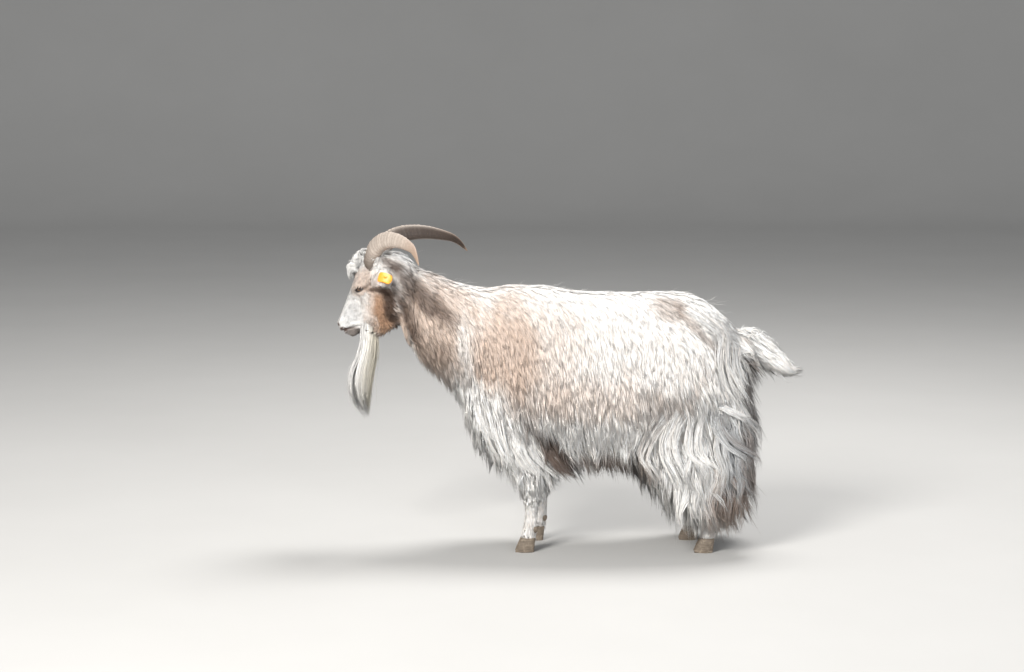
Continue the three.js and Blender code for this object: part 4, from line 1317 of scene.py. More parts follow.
# Great locks that lie over the coat, each as [x, z] in mm, with its half width.
Ribbon = namedtuple("Ribbon", "half line")
RIBBONS = {
    "rump": Ribbon(
        15, [[314, 648], [367, 612], [412, 578], [399, 522], [415, 460], [447, 412], [462, 374]]
    ),
    "under tail": Ribbon(13, [[436, 556], [428, 508], [444, 460], [470, 424]]),
    "thigh": Ribbon(13, [[341, 433], [280, 363], [261, 282], [298, 202], [325, 126]]),
    "thigh's front": Ribbon(12, [[290, 420], [232, 350], [196, 277], [214, 229], [245, 170]]),
    "middle": Ribbon(13, [[366, 430], [325, 352], [330, 277], [367, 229], [351, 148]]),
    "rear": Ribbon(12, [[385, 420], [388, 352], [426, 299], [476, 256], [482, 202]]),
    "fling": Ribbon(5, [[380, 400], [410, 392], [446, 372], [484, 366]]),
    "hock": Ribbon(11, [[367, 262], [394, 213], [373, 159], [341, 116]]),
    "foot": Ribbon(10, [[420, 230], [457, 176], [450, 120]]),
    "inner": Ribbon(11, [[410, 350], [392, 290], [412, 230], [400, 160]]),
    "elbow": Ribbon(11, [[-95, 326], [-60, 255], [4, 190]]),
    "belly's front": Ribbon(11, [[14, 362], [0, 312], [-14, 258]]),
    "belly": Ribbon(12, [[92, 356], [76, 304], [56, 246]]),
    "belly's rear": Ribbon(12, [[172, 356], [158, 304], [140, 246]]),
    "elbow's rear": Ribbon(10, [[-62, 296], [-22, 236], [26, 184]]),
    "elbow's front": Ribbon(11, [[-145, 318], [-110, 247], [-40, 186]]),
    "forearm": Ribbon(11, [[-205, 385], [-178, 290], [-128, 192]]),
    "breast": Ribbon(12, [[-240, 430], [-218, 350], [-190, 280]]),
}


GUIDE_POINTS = 24  # along the middle of a great lock
FARTHEST_OUT = 0.178  # from the body's middle plane


def on_side(x, z, side, lift):
    """Points lifted off the skin at x and z, which never swing far in behind the leg."""
    away = np.full(len(x), 0.17)
    for _ in range(40):
        points = np.stack([x, MID_Y + side * away, z], 1)
        away = np.clip(away - (skin_distance(points)[0] - lift), 0, FARTHEST_OUT)
    for i in range(1, len(away)):
        away[i] = np.clip(away[i], away[i - 1] - 0.006, away[i - 1] + 0.012)
    points[:, 1] = MID_Y + side * away
    return points


def ribbon_guide(line, side):
    """The middle of a great lock, over the coat's outside."""
    steps = np.linspace(0, len(line) - 1, GUIDE_POINTS)
    x, z = between(np.column_stack([np.arange(len(line)), line * MM]), steps)
    deep = by_zone(zone_shares(on_side(x, z, side, 0.02)), "deep") * MM
    rise = np.interp(steps / steps[-1], [0, 0.22, 1], [0.0, 1, 1.15])
    return on_side(x, z, side, (deep + 0.004) * rise)


def make_ribbons(split, each, rings):
    """Each great lock as several that part and cross, of hairs that start at different heights."""
    t = np.linspace(0, 1, rings)
    for ribbon in RIBBONS.values():
        for n, side in [(n, side) for n in range(split) for side in SIDES.values()]:
            line = np.array(ribbon.line, float)
            loose = 4 if side < 0 else 9
            beside = [(n - (split - 1) / 2) * 0.85 * ribbon.half, 0]
            line = line + beside + rng.normal(0, loose, line.shape)
            guide = ribbon_guide(line, side)
            start = rng.uniform(0, 5, each)
            reach = rng.uniform(0.7, 1.0, each) * (GUIDE_POINTS - 1.1)
            at = start[:, None] + t * (reach - start)[:, None]
            low = at.astype(int)
            share = (at - low)[:, :, None]
            path = guide[low] * (1 - share) + guide[low + 1] * share
            out = unit(skin_distance(path.reshape(-1, 3))[1].reshape(path.shape))
            across, upward = frames_along(path, out)
            angle, far = rng.uniform(0, 2 * math.pi, each), np.sqrt(rng.random(each))
            wide = (1.25 - 0.3 * t - 0.75 * t**2)[None, :, None] * ribbon.half * 0.56 * MM
            curl = 0.3 * np.sin(4.5 * t + rng.uniform(0, 6) + 0.8 * angle[:, None])[:, :, None]
            path = path + across * wide * ((far * np.cos(angle))[:, None, None] + curl)
            path = path + upward * wide * 0.45 * (far * np.sin(angle))[:, None, None]
            path = frizz(path, np.full(each, 0.003))
            luck = np.full(each, rng.uniform(-0.3, 1.0))
            colours = tint(path, luck, rng.uniform(-0.6, 1, each), 0.74, 1.03, 0.07)
            uv = ground.uv_at(guide[0]) + rng.normal(0, 0.01, (each, 2))
            yield path, rng.uniform(0.9, 1.8, each) * MM, out, colours, np.clip(uv, 0, 1)


ribbon_parts = (np.concatenate(part) for part in zip(*make_ribbons(4, 19, 8)))
add_coat("coat_ribbons", *ribbon_parts)

# The tail's hair streams from its bone: [x, z, y, half height, half width], in mm.
TAIL = [
    [428, 552, 10, 36, 34],
    [484, 541, 10, 44, 36],
    [524, 521, 9, 45, 35],
    [551, 503, 8, 42, 32],
    [573, 488, 7, 32, 24],
    [594, 473, 6, 13, 10],
    [620, 474, 5, 3, 3],
]


def make_tail(count, rings, locks):
    """A plume: locks leave the bone all along it and close in on its tip."""
    owner = rng.integers(0, locks, count)
    turn = rng.uniform(0, 2 * math.pi, locks)[owner] + rng.normal(0, 0.16, count)
    layer = rng.uniform(0.55, 1.0, locks)[owner] * rng.uniform(0.9, 1.05, count)
    from_x = (426 + 122 * rng.random(locks) ** 0.8)[owner] + rng.normal(0, 6, count)
    run = rng.uniform(60, 84, locks)[owner] * rng.uniform(0.75, 1.0, count)
    t = np.linspace(0, 1, rings)[None, :]
    x = np.minimum(from_x[:, None] + run[:, None] * t, 620 + 3 * rng.random((count, 1)))
    z, y, high, wide = (v.reshape(count, rings) for v in between(TAIL, x.ravel()))
    away = (0.30 + 0.70 * smoothstep(0, 0.62, t)) * layer[:, None]
    sway = 0.15 * np.sin(5.5 * t + 2.5 * turn[:, None]) * t
    paths = np.stack(
        [
            x,
            y + wide * (away * np.cos(turn[:, None]) + sway),
            z + high * (away * np.sin(turn[:, None]) + sway) - 3 * t**2,
        ],
        -1,
    ) * MM
    paths = frizz(paths, 0.0022 + 0.006 * (rng.random(count) < 0.12))
    owner_luck = rng.uniform(-1, 1, locks)[owner]
    colours = tint(paths, owner_luck, rng.uniform(-1, 1, count), 0.9, 1.03)
    out = paths - np.stack([x, y, z], -1) * MM
    uv = np.stack([0.1 + 0.8 * (from_x - 400) / 200, 0.5 + 0.4 * np.cos(turn)], 1)
    add_coat("coat_tail", paths, rng.uniform(1.5, 2.6, count) * MM, unit(out), colours, uv)


make_tail(1900, 6, 120)


# ---- materials ----------------------------------------------------------------------------------
class Shader:
    """A material's nodes, made in the order they are wired."""

    def __init__(self, name):
        self.material = bpy.data.materials.new(name)
        self.material.use_nodes = True
        self.tree = self.material.node_tree
        self.surface = self.tree.nodes["Principled BSDF"]

    def node(self, kind, inputs=None, **settings):
        made = self.tree.nodes.new("ShaderNode" + kind)
        for key, value in settings.items():
            setattr(made, key, value)
        for key, value in (inputs or {}).items():
            self.feed(made.inputs[key], value)
        return made

    def feed(self, socket, value):
        """A link if the value comes from a node, else the socket's own value."""
        if isinstance(value, bpy.types.NodeSocket):
            self.tree.links.new(value, socket)
        else:
            socket.default_value = value

    def set(self, **values):
        for key, value in values.items():
            self.feed(self.surface.inputs[key.replace("_", " ")], value)

    def attribute(self, name):
        return self.node("Attribute", attribute_name=name)

    def noise(self, vector, scale, detail=3.0, roughness=0.6):
        inputs = {"Vector": vector, "Scale": scale, "Detail": detail, "Roughness": roughness}
        return self.node("TexNoise", inputs).outputs["Fac"]

    def between(self, fac, low, high, to_low=0.0, to_high=1.0):
        inputs = {"Value": fac, "From Min": low, "From Max": high}
        inputs.update({"To Min": to_low, "To Max": to_high})
        return self.node("MapRange", inputs).outputs["Result"]

    def mix(self, fac, a, b, kind="MIX"):
        """Of two colours, each from a node or a plain one."""
        a, b = (c if isinstance(c, bpy.types.NodeSocket) else (*c, 1) for c in (a, b))
        made = self.node("Mix", {0: fac, 6: a, 7: b}, data_type="RGBA", blend_type=kind)
        return made.outputs[2]

    def shaded(self, colour, shade):
        """The colour times a shade of grey."""
        grey = self.node("CombineColor", {0: shade, 1: shade, 2: shade}).outputs["Color"]
        return self.mix(1.0, colour, grey, "MULTIPLY")

    def scaled(self, vector, scale):
        inputs = {0: vector, 1: scale}
        return self.node("VectorMath", inputs, operation="MULTIPLY").outputs["Vector"]

    def bump(self, height, strength, distance):
        inputs = {"Height": height, "Strength": strength, "Distance": distance}
        return self.node("Bump", inputs).outputs["Normal"]

    def leaning(self, normal, name, share):
        """The normal drawn towards the one that an attribute holds."""
        way = self.attribute(name).outputs["Vector"]
        mixed = self.node("Mix", {0: share, 4: normal, 5: way}, data_type="VECTOR").outputs[1]
        return self.node("VectorMath", {0: mixed}, operation="NORMALIZE").outputs["Vector"]

    def place(self):
        return self.node("TexCoord").outputs["Object"]


def coat_material():
    m = Shader("coat")
    colour = m.attribute("coat").outputs["Color"]
    place = m.place()
    streak = m.noise(m.scaled(place, (420, 420, 60)), 1.0)
    shade = m.between(streak, 0.3, 0.7, 0.86, 1.08)
    m.set(
        Base_Color=m.shaded(colour, shade),
        Roughness=m.between(m.noise(place, 90), 0.3, 0.7, 0.42, 0.62),
        Normal=m.leaning(m.bump(streak, 0.35, 0.0006), "lie", 0.72),
        Specular_IOR_Level=0.3,
        Sheen_Weight=0.18,
        Sheen_Roughness=0.45,
    )
    return m.material


def skin_material():
    m = Shader("skin and short fur")
    colour = m.attribute("coat").outputs["Color"]
    place = m.place()
    fur = m.noise(m.scaled(place, (700, 700, 260)), 1.0, 4.0, 0.7)
    fine = m.noise(place, 1500, 2.0)
    shade = m.between(fur, 0.28, 0.72, 0.80, 1.08)
    wet = m.attribute("wet").outputs["Fac"]
    height = m.node("Math", {0: fur, 1: fine}, operation="ADD").outputs["Value"]
    m.set(
        Base_Color=m.shaded(colour, shade),
        Roughness=m.between(wet, 0, 1, 0.72, 0.34),
        Normal=m.bump(height, 0.7, 0.0008),
        Specular_IOR_Level=0.35,
        Sheen_Weight=0.12,
    )
    return m.material


HORN_STAIN = srgb(0.36, 0.30, 0.25)


def horn_material():
    m = Shader("horn")
    colour = m.attribute("horn").outputs["Color"]
    grain_at = m.attribute("grain").outputs["Vector"]
    grain = m.noise(m.scaled(grain_at, (14, 90, 1)), 1.0, 5.0, 0.65)
    stain = m.noise(m.scaled(grain_at, (26, 9, 1)), 1.0, 4.0)
    shade = m.between(grain, 0.25, 0.75, 0.72, 1.2)
    worn = m.mix(m.between(stain, 0.52, 0.75), m.shaded(colour, shade), HORN_STAIN)
    m.set(
        Base_Color=worn,
        Roughness=m.between(stain, 0.3, 0.7, 0.46, 0.68),
        Normal=m.bump(grain, 0.5, 0.0006),
    )
    return m.material


def hoof_material():
    m = Shader("hoof")
    place = m.place()
    rings = m.noise(m.scaled(place, (40, 40, 520)), 1.0, 3.0)
    dirt = m.noise(place, 120, 5.0)
    base = m.mix(m.between(rings, 0.3, 0.7), srgb(0.30, 0.26, 0.22), srgb(0.47, 0.42, 0.36))
    m.set(
        Base_Color=m.mix(m.between(dirt, 0.5, 0.72), base, srgb(0.55, 0.5, 0.44)),
        Roughness=m.between(dirt, 0.3, 0.7, 0.5, 0.8),
        Normal=m.bump(rings, 0.6, 0.0008),
    )
    return m.material


def tag_material():
    m = Shader("tag plastic")
    place = m.place()
    cloud = m.noise(place, 60, 4.0)
    scuff = m.noise(m.scaled(place, (900, 200, 900)), 1.0, 3.0)
    base = m.mix(m.between(cloud, 0.3, 0.7), srgb(0.93, 0.57, 0.12), srgb(0.95, 0.66, 0.22))
    m.set(
        Base_Color=m.mix(m.between(scuff, 0.66, 0.8), base, srgb(0.98, 0.86, 0.62)),
        Roughness=m.between(scuff, 0.3, 0.8, 0.38, 0.6),
        Normal=m.bump(scuff, 0.15, 0.0003),
        Subsurface_Weight=0.08,
        Subsurface_Scale=0.004,
    )
    return m.material


def eye_material():
    """Amber iris with a lying slot of a pupil, dark round the rim."""
    m = Shader("eye")
    gaze = m.attribute("gaze").outputs["Vector"]
    parts = m.node("SeparateXYZ", {0: gaze})
    x, y = parts.outputs["X"], parts.outputs["Y"]
    level = m.node("CombineXYZ", {"X": x, "Y": y, "Z": 0.0}).outputs["Vector"]
    away = m.node("VectorMath", {0: level}, operation="LENGTH").outputs["Value"]
    slot_at = m.scaled(level, (0.52, 1.75, 0))
    power = m.node("VectorMath", {0: slot_at}, operation="LENGTH").outputs["Value"]
    fibres = m.noise(m.scaled(gaze, (0.9, 0.9, 0.2)), 1.0, 6.0, 0.7)
    iris = m.mix(m.between(fibres, 0.3, 0.72), srgb(0.20, 0.13, 0.08), srgb(0.44, 0.30, 0.17))
    iris = m.mix(m.between(away, 6.0, 8.2), iris, srgb(0.16, 0.10, 0.06))
    iris = m.mix(m.between(power, 3.6, 3.2), iris, srgb(0.03, 0.03, 0.035))
    white = m.mix(m.between(fibres, 0.3, 0.7), srgb(0.13, 0.10, 0.08), srgb(0.22, 0.17, 0.14))
    m.set(
        Base_Color=m.mix(m.between(away, 8.4, 9.6), iris, white),
        Roughness=m.between(fibres, 0.2, 0.8, 0.05, 0.10),
        Specular_IOR_Level=0.6,
        Coat_Weight=0.6,
        Coat_Roughness=0.03,
    )
    return m.material


def floor_material():
    m = Shader("studio floor")
    place = m.place()
    cloud = m.noise(place, 1.3, 3.0)
    m.set(
        Base_Color=m.mix(cloud, srgb(0.68, 0.675, 0.665), srgb(0.71, 0.705, 0.695)),
        Roughness=0.85,
        Normal=m.bump(m.noise(place, 300, 2.0), 0.05, 0.001),
    )
    return m.material


def dress(ob, material, slot, *nodes):
    """Its material, the body it rides and the nodes it stands for. slot is not used."""
    ob.data.materials.clear()
    ob.data.materials.append(material)
    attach(ob, "root")
    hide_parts(*nodes)


# ---- skin's colours -----------------------------------------------------------------------------
LIP = srgb(0.25, 0.18, 0.15)
NOSE = srgb(0.27, 0.215, 0.195)
LID = srgb(0.12, 0.09, 0.075)
# the ears' inner skin, made dark enough to stand for the shade in their fold as well
EAR_INSIDE_AND_SHADE = srgb(0.36, 0.26, 0.22)


def skin_colours(points, normals):
    """Markings darkened by painted shade where the coat's gaps show the skin, most under the long
    coat, with bare lips, nose and lids, and dark ear insides.
    """
    colour = markings(points)
    face = np.where(on_ears(points) > 0, 1, face_share(points))
    # painted shade: the skin shows in the coat's gaps, so it is darkened, most under the long locks
    # of skirt, breech and hock, hardly on the head
    shade = 0.95 - 0.5 * near_zone(points, "skirt", "breech", "hock")
    colour = colour * (shade + (0.98 - shade) * face)[:, None]
    p = into(HEAD_AXES, points)
    x, away, z = p[:, 0], np.abs(p[:, 1]), p[:, 2]
    wet = np.zeros(len(points))
    gap = z - mouth_height(x)
    lip = np.exp(-(((gap + 1.5) / 3.6) ** 2)) * smoothstep(174, 194, x)
    lip = np.maximum(lip, smoothstep(15, 8, np.hypot(x - 207, gap - 1)))
    nose = smoothstep(196, 202, x) * np.exp(-(((z - 1) / 6.5) ** 2)) * smoothstep(26, 20, away)
    ex, ez = x - EYE_AT[0], z - EYE_AT[2]
    along, up = by_slit(ex, ez)
    oval = np.hypot(along / (SLIT_HALF + 2.6), up / (SLIT_HIGH + 2.9))
    lid = smoothstep(1.12, 0.86, oval) * (away > 24) * (np.abs(ex) < 40)
    for share, bare_colour in ((lip, LIP), (nose, NOSE), (lid, LID)):
        share = np.clip(share, 0, 1)
        colour = colour + (bare_colour - colour) * share[:, None]
        wet = np.maximum(wet, share)
    # the ears' inner faces: their own barer skin, darkened with painted shade in the fold
    for side in SIDES.values():
        t = on_ear(points, side)
        under = -(normals @ (ear_axes(side)[2] @ TURNED_AXES))
        inside = smoothstep(0.2, 0.7, under) * (t > 0)
        colour = colour + (EAR_INSIDE_AND_SHADE - colour) * (0.75 * inside)[:, None]
    return colour, wet * 0.8


def finish_skin():
    mesh = skin.data
    normals = np.empty(len(mesh.vertices) * 3)
    mesh.vertex_normals.foreach_get("vector", normals)
    colour, wet = skin_colours(points_of(mesh), normals.reshape(-1, 3))
    paint(mesh, "coat", colour)
    add_values(mesh, "wet", wet)


def lid_rims():
    """A dark moist edge along both lids of both eyes."""
    parts = []
    turn = np.linspace(0, 2 * math.pi, 64, endpoint=False)
    along = SLIT_HALF * np.cos(turn)
    up = lid_arch(along) * np.sign(np.sin(turn))
    x = along * math.cos(LID_TILT) - up * math.sin(LID_TILT)
    z = along * math.sin(LID_TILT) + up * math.cos(LID_TILT)
    y = np.sqrt(14.2**2 - x * x - z * z)
    for mirror in (-1, 1):
        line = np.stack([EYE_AT[0] + x, mirror * (EYE_AT[1] + y), EYE_AT[2] + z], 1)
        tangent = unit(np.roll(line, -1, 0) - np.roll(line, 1, 0))
        out = unit(line - np.array([EYE_AT[0], mirror * EYE_AT[1], EYE_AT[2]]))
        across = np.cross(tangent, out)
        a = np.linspace(0, 2 * math.pi, 8, endpoint=False)[None, :, None]
        ring = line[:, None] + 0.95 * (np.cos(a) * across[:, None] + np.sin(a) * out[:, None])
        parts.append(out_of(HEAD_AXES, ring))
    return parts


def ring_faces(n, m, start, flip):
    i, j = np.arange(n)[:, None], np.arange(m)[None, :]
    a, b = i * m + j, i * m + (j + 1) % m
    c, d = (i + 1) % n * m + (j + 1) % m, (i + 1) % n * m + j
    quads = np.stack([a, b, c, d], -1).reshape(-1, 4) + start
    return quads[:, ::-1] if flip else quads


def lids_object():
    points, faces, start = [], [], 0
    for part in lid_rims():
        n, m = part.shape[:2]
        points.append(part.reshape(-1, 3))
        flip = np.linalg.det(HEAD_AXES) * (1 if start == 0 else -1) > 0
        faces.append(ring_faces(n, m, start, flip))
        start += n * m
    ob = mesh_object("lid_rims", np.concatenate(points), np.concatenate(faces))
    paint(ob.data, "coat", np.tile(LID, (start, 1)))
    add_values(ob.data, "wet", np.ones(start))
    return ob


# ---- eyes, horns, claws and tag -----------------------------------------------------------------
GAZE_AHEAD = 0.26  # share of forward in the line through the eye
EYE_RADIUS = 12.75
CORNEA = 0.7  # how far it stands out


def eye_object(side):
    """An eyeball with a low cornea. The gaze attribute is in mm, z along the eye's axis."""
    mark = SIDES[side]
    gaze = unit(mark * to_left + GAZE_AHEAD * ahead - 0.05 * UP)
    level = unit(np.cross(UP, gaze))
    upright = np.cross(gaze, level)
    turn = np.linspace(0, 2 * math.pi, 64, endpoint=False)
    polar = np.linspace(0, math.pi, 49)[1:-1]
    radius = EYE_RADIUS + CORNEA * np.exp(-((polar / 0.42) ** 2))
    local = np.stack(
        [
            np.sin(polar)[:, None] * np.cos(turn) * radius[:, None],
            np.sin(polar)[:, None] * np.sin(turn) * radius[:, None],
            np.cos(polar)[:, None] * radius[:, None] + 0 * turn,
        ],
        -1,
    )
    points, faces = tube(local)
    points[-2:] = [[0, 0, EYE_RADIUS + CORNEA], [0, 0, -EYE_RADIUS]]
    world = eyes[side] + MM * points @ np.array([level, upright, gaze])
    if np.linalg.det([level, upright, gaze]) < 0:
        faces = faces[:, ::-1]
    ob = mesh_object("eyeball_" + side, world, faces)
    add_values(ob.data, "gaze", points)
    return ob


HORN_ROOT = (-26, 25, 4)  # from the poll: back, out, up
HORN_DEEP = 25.5  # half of its depth at the root
HORN_FLAT = 0.64  # its width as a share of its depth
HORN_SPAN = {"left": 0.97, "right": 1.08}  # its size as a share of the line below
# The centre line from the root: [back, out, up].
HORN_LINE = np.array(
    [
        [3, -3, -22],
        [0, 0, 0],
        [15, 9, 33],
        [48, 28, 58],
        [98, 61, 64],
        [149, 105, 52],
        [169, 132, 38],
        [187, 158, 12],
    ],
    float,
)
HORN_HUB = np.array([80, 60, -60])  # the keel points away from here
HORN_LIGHT = srgb(0.72, 0.67, 0.625)
HORN_BASE = srgb(0.33, 0.29, 0.255)
HORN_TIP = srgb(0.60, 0.51, 0.44)
# painted shade for the horns' inner sides
HORN_PAINTED_SHADE = srgb(0.15, 0.095, 0.06)


def horn_object(side):
    mark, span = SIDES[side], HORN_SPAN[side]
    flip = np.array([1, mark, 1])
    start = np.array(HORN_ROOT) * flip
    line = HORN_LINE * flip * span + start
    hub = HORN_HUB * flip * span + start
    gaps = np.linalg.norm(np.diff(line, axis=0), axis=1) ** 0.5
    knots = np.concatenate([[0], np.cumsum(gaps)])
    dense = np.stack(between(np.column_stack([knots, line]), np.linspace(0, knots[-1], 600)), 1)
    run = np.concatenate([[0], np.cumsum(np.linalg.norm(np.diff(dense, axis=0), axis=1))])
    t = np.linspace(0, 1, 190)
    at = np.stack([np.interp(t * run[-1], run, dense[:, i]) for i in range(3)], 1)
    heading = unit(np.gradient(at, axis=0))
    keel = at - hub
    keel = unit(keel - (keel * heading).sum(1, keepdims=True) * heading)
    aside = np.cross(keel, heading)
    deep = HORN_DEEP * (1 - t**1.9) ** 0.8 * (1 - 0.12 * t) + 0.8
    a = np.linspace(0, 2 * math.pi, 44, endpoint=False)[None, :]
    far = (t * run[-1])[:, None]
    wander = 1.2 * np.sin(0.11 * far + 2.0) + 0.8 * np.sin(0.31 * far)
    wander = wander + 1.6 * np.sin(0.047 * far + 0.6 * np.cos(a))
    phase = 2 * math.pi * (far + wander + 2.5 * np.cos(a)) / (7.5 + 3.5 * t[:, None])
    big = 0.5 + 0.5 * np.sin(0.19 * far + 1.2)
    ridge = (0.5 + 0.5 * np.cos(phase)) ** 2 * (0.2 + 0.8 * big)
    fade = smoothstep(0.93, 0.35, t)[:, None]
    lines = 0.16 * np.sin(19 * a + 2 * t[:, None]) + 0.12 * np.sin(31 * a - 3 * t[:, None])
    grow = (0.75 * ridge * fade + lines * (1 - 0.6 * t[:, None])) * (1.1 + 0.5 * np.cos(a))
    u = (deep[:, None] + grow) * (1 + 0.1 * np.cos(a)) * np.cos(a)
    v = (HORN_FLAT * deep[:, None] + grow) * (1 - 0.28 * np.cos(a)) * np.sin(a)
    rings = at[:, None] + u[:, :, None] * keel[:, None] + v[:, :, None] * aside[:, None]
    points, faces = tube(out_of(TURNED_AXES, rings))
    ob = mesh_object("horn_of_" + side, points, faces)
    shade = HORN_BASE + (HORN_LIGHT - HORN_BASE) * smoothstep(0.0, 0.26, t)[:, None]
    shade = shade + (HORN_TIP - shade) * smoothstep(0.5, 0.95, t)[:, None]
    # painted shade: the inner side of each horn is darkened, least along its keel
    inner = smoothstep(-0.2, 0.4, -mark * np.sin(a)) * smoothstep(0.12, 0.36, t)[:, None]
    inner = inner * smoothstep(1.0, 0.93, t)[:, None] * (0.96 - 0.8 * np.cos(a) ** 6)
    # painted shade: darker in the grooves between the rings
    colours = shade[:, None] * (1 - 0.25 * (1 - ridge) ** 2 * fade)[:, :, None]
    colours = colours + (HORN_PAINTED_SHADE - colours) * inner[:, :, None]
    colours = np.concatenate([colours.reshape(-1, 3), [HORN_BASE, HORN_TIP]])
    paint(ob.data, "horn", colours)
    grain = np.stack([far / 30 + 0 * a, np.abs(a / math.pi - 1) + 0 * far, 0 * a * far], -1)
    grain = np.concatenate([grain.reshape(-1, 3), [[0, 0, 0], [9, 0, 0]]])
    add_values(ob.data, "grain", grain)
    return ob


# Rings of a claw: [height, length, width, lean back], as shares and mm.
CLAW_LEVELS = [
    [0, 0.97, 0.97, 0],
    [0.03, 1, 1, 0.2],
    [0.3, 0.95, 1.03, 2.5],
    [0.65, 0.86, 1.0, 6],
    [1, 0.78, 0.94, 9.5],
]


def claw_object(node):
    """Half of a hoof, with low growth rings and its top in the coat."""
    low, high = (np.array(c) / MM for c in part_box(node))
    length, width = (high[0] - low[0]) / 1.08, (high[1] - low[1]) / 1.03
    centre = np.array([low[0] + length / 2, (low[1] + high[1]) / 2])
    h = np.concatenate([[0, 0.03], np.linspace(0.07, 1, 26)])[:, None]
    long, wide, back = (v.reshape(-1, 1) for v in between(CLAW_LEVELS, h.ravel()))
    a = np.linspace(0, 2 * math.pi, 48, endpoint=False)[None, :]
    toe = np.maximum(0, -np.cos(a))
    ripple = 0.28 * np.sin(34 * h + 2 * np.cos(a)) * smoothstep(0.02, 0.1, h)
    u = (length / 2 * long + ripple - 0.3) * np.cos(a)
    v = (width / 2 * wide + 0.6 * ripple - 0.3) * np.sin(a) * (1 - 0.3 * toe)
    top = high[2] + 4
    z = low[2] + h * (top - low[2]) + 0 * a
    rings = np.stack([centre[0] + back + u, centre[1] + v, z], -1)
    return mesh_object("hoof_" + node, *tube(rings * MM))


DEWCLAW_SUNK = np.array([2.5, 0, 0])  # into the pastern, in mm


def dewclaw_object(node):
    """An oval knob, slimmer at its foot."""
    low, high = (np.array(c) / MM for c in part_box(node))
    half = (high - low) / 2
    polar = np.linspace(0.12, math.pi - 0.12, 18)[:, None]
    a = np.linspace(0, 2 * math.pi, 24, endpoint=False)[None, :]
    bulge = np.sin(polar) ** 0.8 * (0.78 - 0.24 * np.cos(polar))
    u, v = half[0] * bulge * np.cos(a), half[1] * bulge * np.sin(a)
    rings = np.stack([u, v, half[2] * -np.cos(polar) + 0 * a], -1)
    return mesh_object("hoof_" + node, *tube(((low + high) / 2 - DEWCLAW_SUNK + rings) * MM))


TAG_THICK = 2.2
TAG_LIFT = 5.8  # out of the middle of the ear's thickness
TAG_ALONG = (0.45, 0.9)  # shares of the ear's length and half width that the plate covers
TAG_ACROSS = (-0.16, 0.78)
TAG_POST = (0.66, 0.3)


def tag_plate_object():
    """A bent plate with rounded corners that follows the back of the left ear."""
    side = SIDES["left"]
    t = np.linspace(0, 1, 26)[:, None]
    a = np.linspace(0, 2 * math.pi, 60, endpoint=False)[None, :]
    corner = 1 - 0.10 * (np.abs(2 * t - 1) ** 9)
    across = np.sign(np.cos(a)) * np.abs(np.cos(a)) ** 0.35
    thick = np.sign(np.sin(a)) * np.abs(np.sin(a)) ** 0.45 * TAG_THICK / 2
    s = (TAG_ACROSS[0] + TAG_ACROSS[1]) / 2 + (TAG_ACROSS[1] - TAG_ACROSS[0]) / 2 * across * corner
    ends = np.sqrt(np.clip(1 - np.abs(2 * t - 1) ** 30, 0.05, 1))
    rise = TAG_LIFT + TAG_THICK / 2 + thick * ends
    at = TAG_ALONG[0] + (TAG_ALONG[1] - TAG_ALONG[0]) * t + 0 * a
    return mesh_object("tag_plate", *tube(ear_point(side, at, s, rise)))


def tag_button_object():
    """Button, post and the round lock plate over the tag."""
    side = SIDES["left"]
    t, s = TAG_POST
    at = ear_point(side, t, s, 0.0)
    out = unit(ear_point(side, t, s, 1.0) - at)
    along = unit(ear_axes(side)[0] @ TURNED_AXES)
    aside = np.cross(out, along)
    low_rise, high_rise = -6.5, 10.4
    profile = [
        [low_rise, 0.4],
        [low_rise, 9.5],
        [low_rise + 0.7, 10.6],
        [low_rise + 1.6, 10.6],
        [low_rise + 2.2, 9.6],
        [low_rise + 2.4, 3.2],
        [0.0, 3.0],
        [high_rise - 2.0, 3.0],
        [high_rise - 1.8, 4.6],
        [high_rise - 0.5, 4.8],
        [high_rise, 4.0],
        [high_rise, 0.4],
    ]
    a = np.linspace(0, 2 * math.pi, 40, endpoint=False)[:, None]
    spokes = np.cos(a) * along + np.sin(a) * aside
    rings = [at + MM * (rise * out + radius * spokes) for rise, radius in profile]
    return mesh_object("tag_button", *tube(np.array(rings)))


# ---- dress everything ---------------------------------------------------------------------------
finish_skin()
coat_stuff, skin_stuff = coat_material(), skin_material()
horn_stuff, hoof_stuff = horn_material(), hoof_material()
tag_stuff, eye_stuff = tag_material(), eye_material()
dress(skin, skin_stuff, "coat", *FLESH, "ear_left", "ear_right")
dress(lids_object(), skin_stuff, "coat", "head")
for piece in coat_pieces:
    kind = piece.name.split("_")[1]
    dress(piece, coat_stuff, "coat", kind if kind in ("beard", "forelock") else "trunk")
for side in SIDES:
    dress(eye_object(side), eye_stuff, "eye", "eye_" + side)
    dress(horn_object(side), horn_stuff, "horn", "horn_" + side)
for node in list(frame["nodes"]):
    if "dewclaw" in node:
        dress(dewclaw_object(node), hoof_stuff, "hoof", node)
    elif "claw" in node:
        dress(claw_object(node), hoof_stuff, "hoof", node)
dress(tag_plate_object(), tag_stuff, "tag", "ear_tag_plate")
dress(tag_button_object(), tag_stuff, "tag", "ear_tag_button")


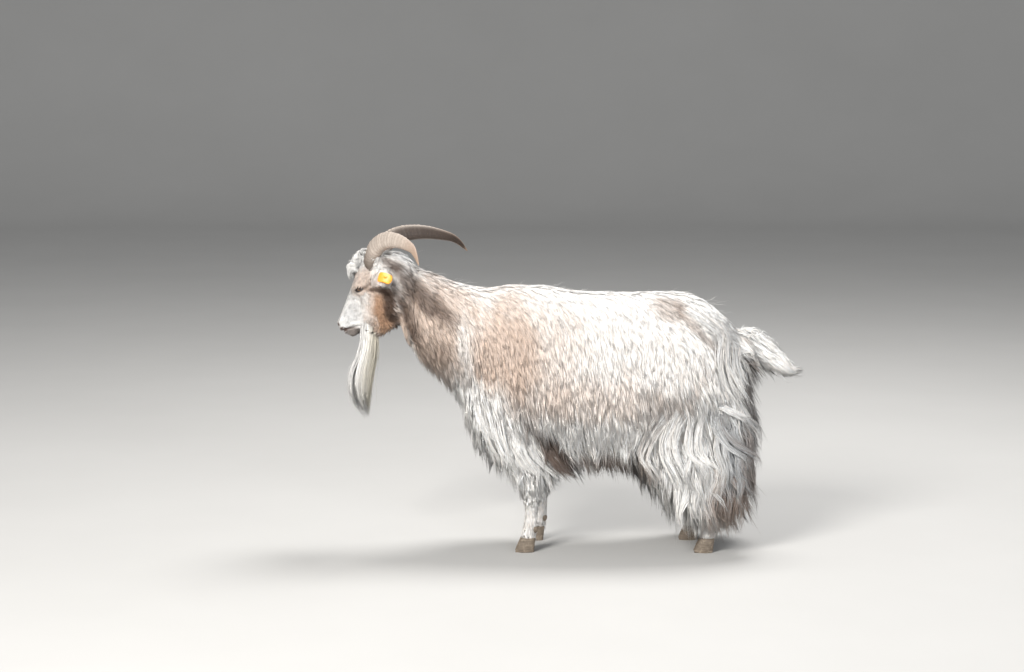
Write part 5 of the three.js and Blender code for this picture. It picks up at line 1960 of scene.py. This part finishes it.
# ---- studio -------------------------------------------------------------------------------------
def studio_floor():
    """A floor that sweeps up into a wall far behind."""
    front, wall_at, bend, half, height = -14, 9.0, 3.0, 20, 12.0
    run = [[y, 0.0] for y in np.linspace(front, wall_at, 12)]
    for a in np.linspace(0, math.pi / 2, 24)[1:]:
        run.append([wall_at + bend * math.sin(a), bend * (1 - math.cos(a))])
    run.append([wall_at + bend, height])
    x = np.linspace(-half, half, 9)
    points = np.array([[side, y, z] for y, z in run for side in x])
    n = len(x)
    quads = [
        [i * n + j, i * n + j + 1, (i + 1) * n + j + 1, (i + 1) * n + j]
        for i in range(len(run) - 1)
        for j in range(n - 1)
    ]
    return mesh_object("studio_floor", points, np.array(quads))


def area_light(name, at, target, size, power, colour):
    light = bpy.data.lights.new(name, "AREA")
    light.shape, light.size, light.energy, light.color = "DISK", size, power, colour
    ob = bpy.data.objects.new(name, light)
    ob.location = at
    ob.rotation_euler = (Vector(target) - Vector(at)).to_track_quat("-Z", "Y").to_euler()
    bpy.context.scene.collection.objects.link(ob)


floor = studio_floor()
floor.data.materials.append(floor_material())
floor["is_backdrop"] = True
area_light("key", (-2.7, -4.5, 3.9), (0, 0, 0.45), 2.3, 520, (1.0, 0.98, 0.95))
area_light("top", (1.0, 1.4, 4.6), (0, 0, 0.5), 2.0, 230, (1.0, 0.99, 0.98))
area_light("fill", (2.2, -5.2, 1.3), (0, 0, 0.35), 3.2, 165, (0.95, 0.97, 1.0))
world = bpy.data.worlds.new("studio")
world.use_nodes = True
sky = world.node_tree.nodes["Background"].inputs
sky["Color"].default_value = (0.93, 0.96, 1.0, 1)
sky["Strength"].default_value = 0.40
bpy.context.scene.world = world
bpy.context.scene.view_settings.view_transform = "Standard"

CAMERA_AT = (-0.1466, -6.2585, 1.441)  # a standing adult's eye height
CAMERA_TILT = math.radians(82.03)  # 90 degrees would be level
lens = bpy.data.cameras.new("camera")
lens.lens, lens.sensor_width = 84.375, 36
lens.clip_start, lens.clip_end = 0.05, 100
camera = bpy.data.objects.new("camera", lens)
camera.location = CAMERA_AT
camera.rotation_euler = (CAMERA_TILT, 0, 0)
bpy.context.scene.collection.objects.link(camera)
bpy.context.scene.camera = camera

sizes = {"cad": [list(map(float, c)) for c in (cad_low, cad_high)]}
sizes["visual"] = [list(map(float, c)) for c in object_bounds()]
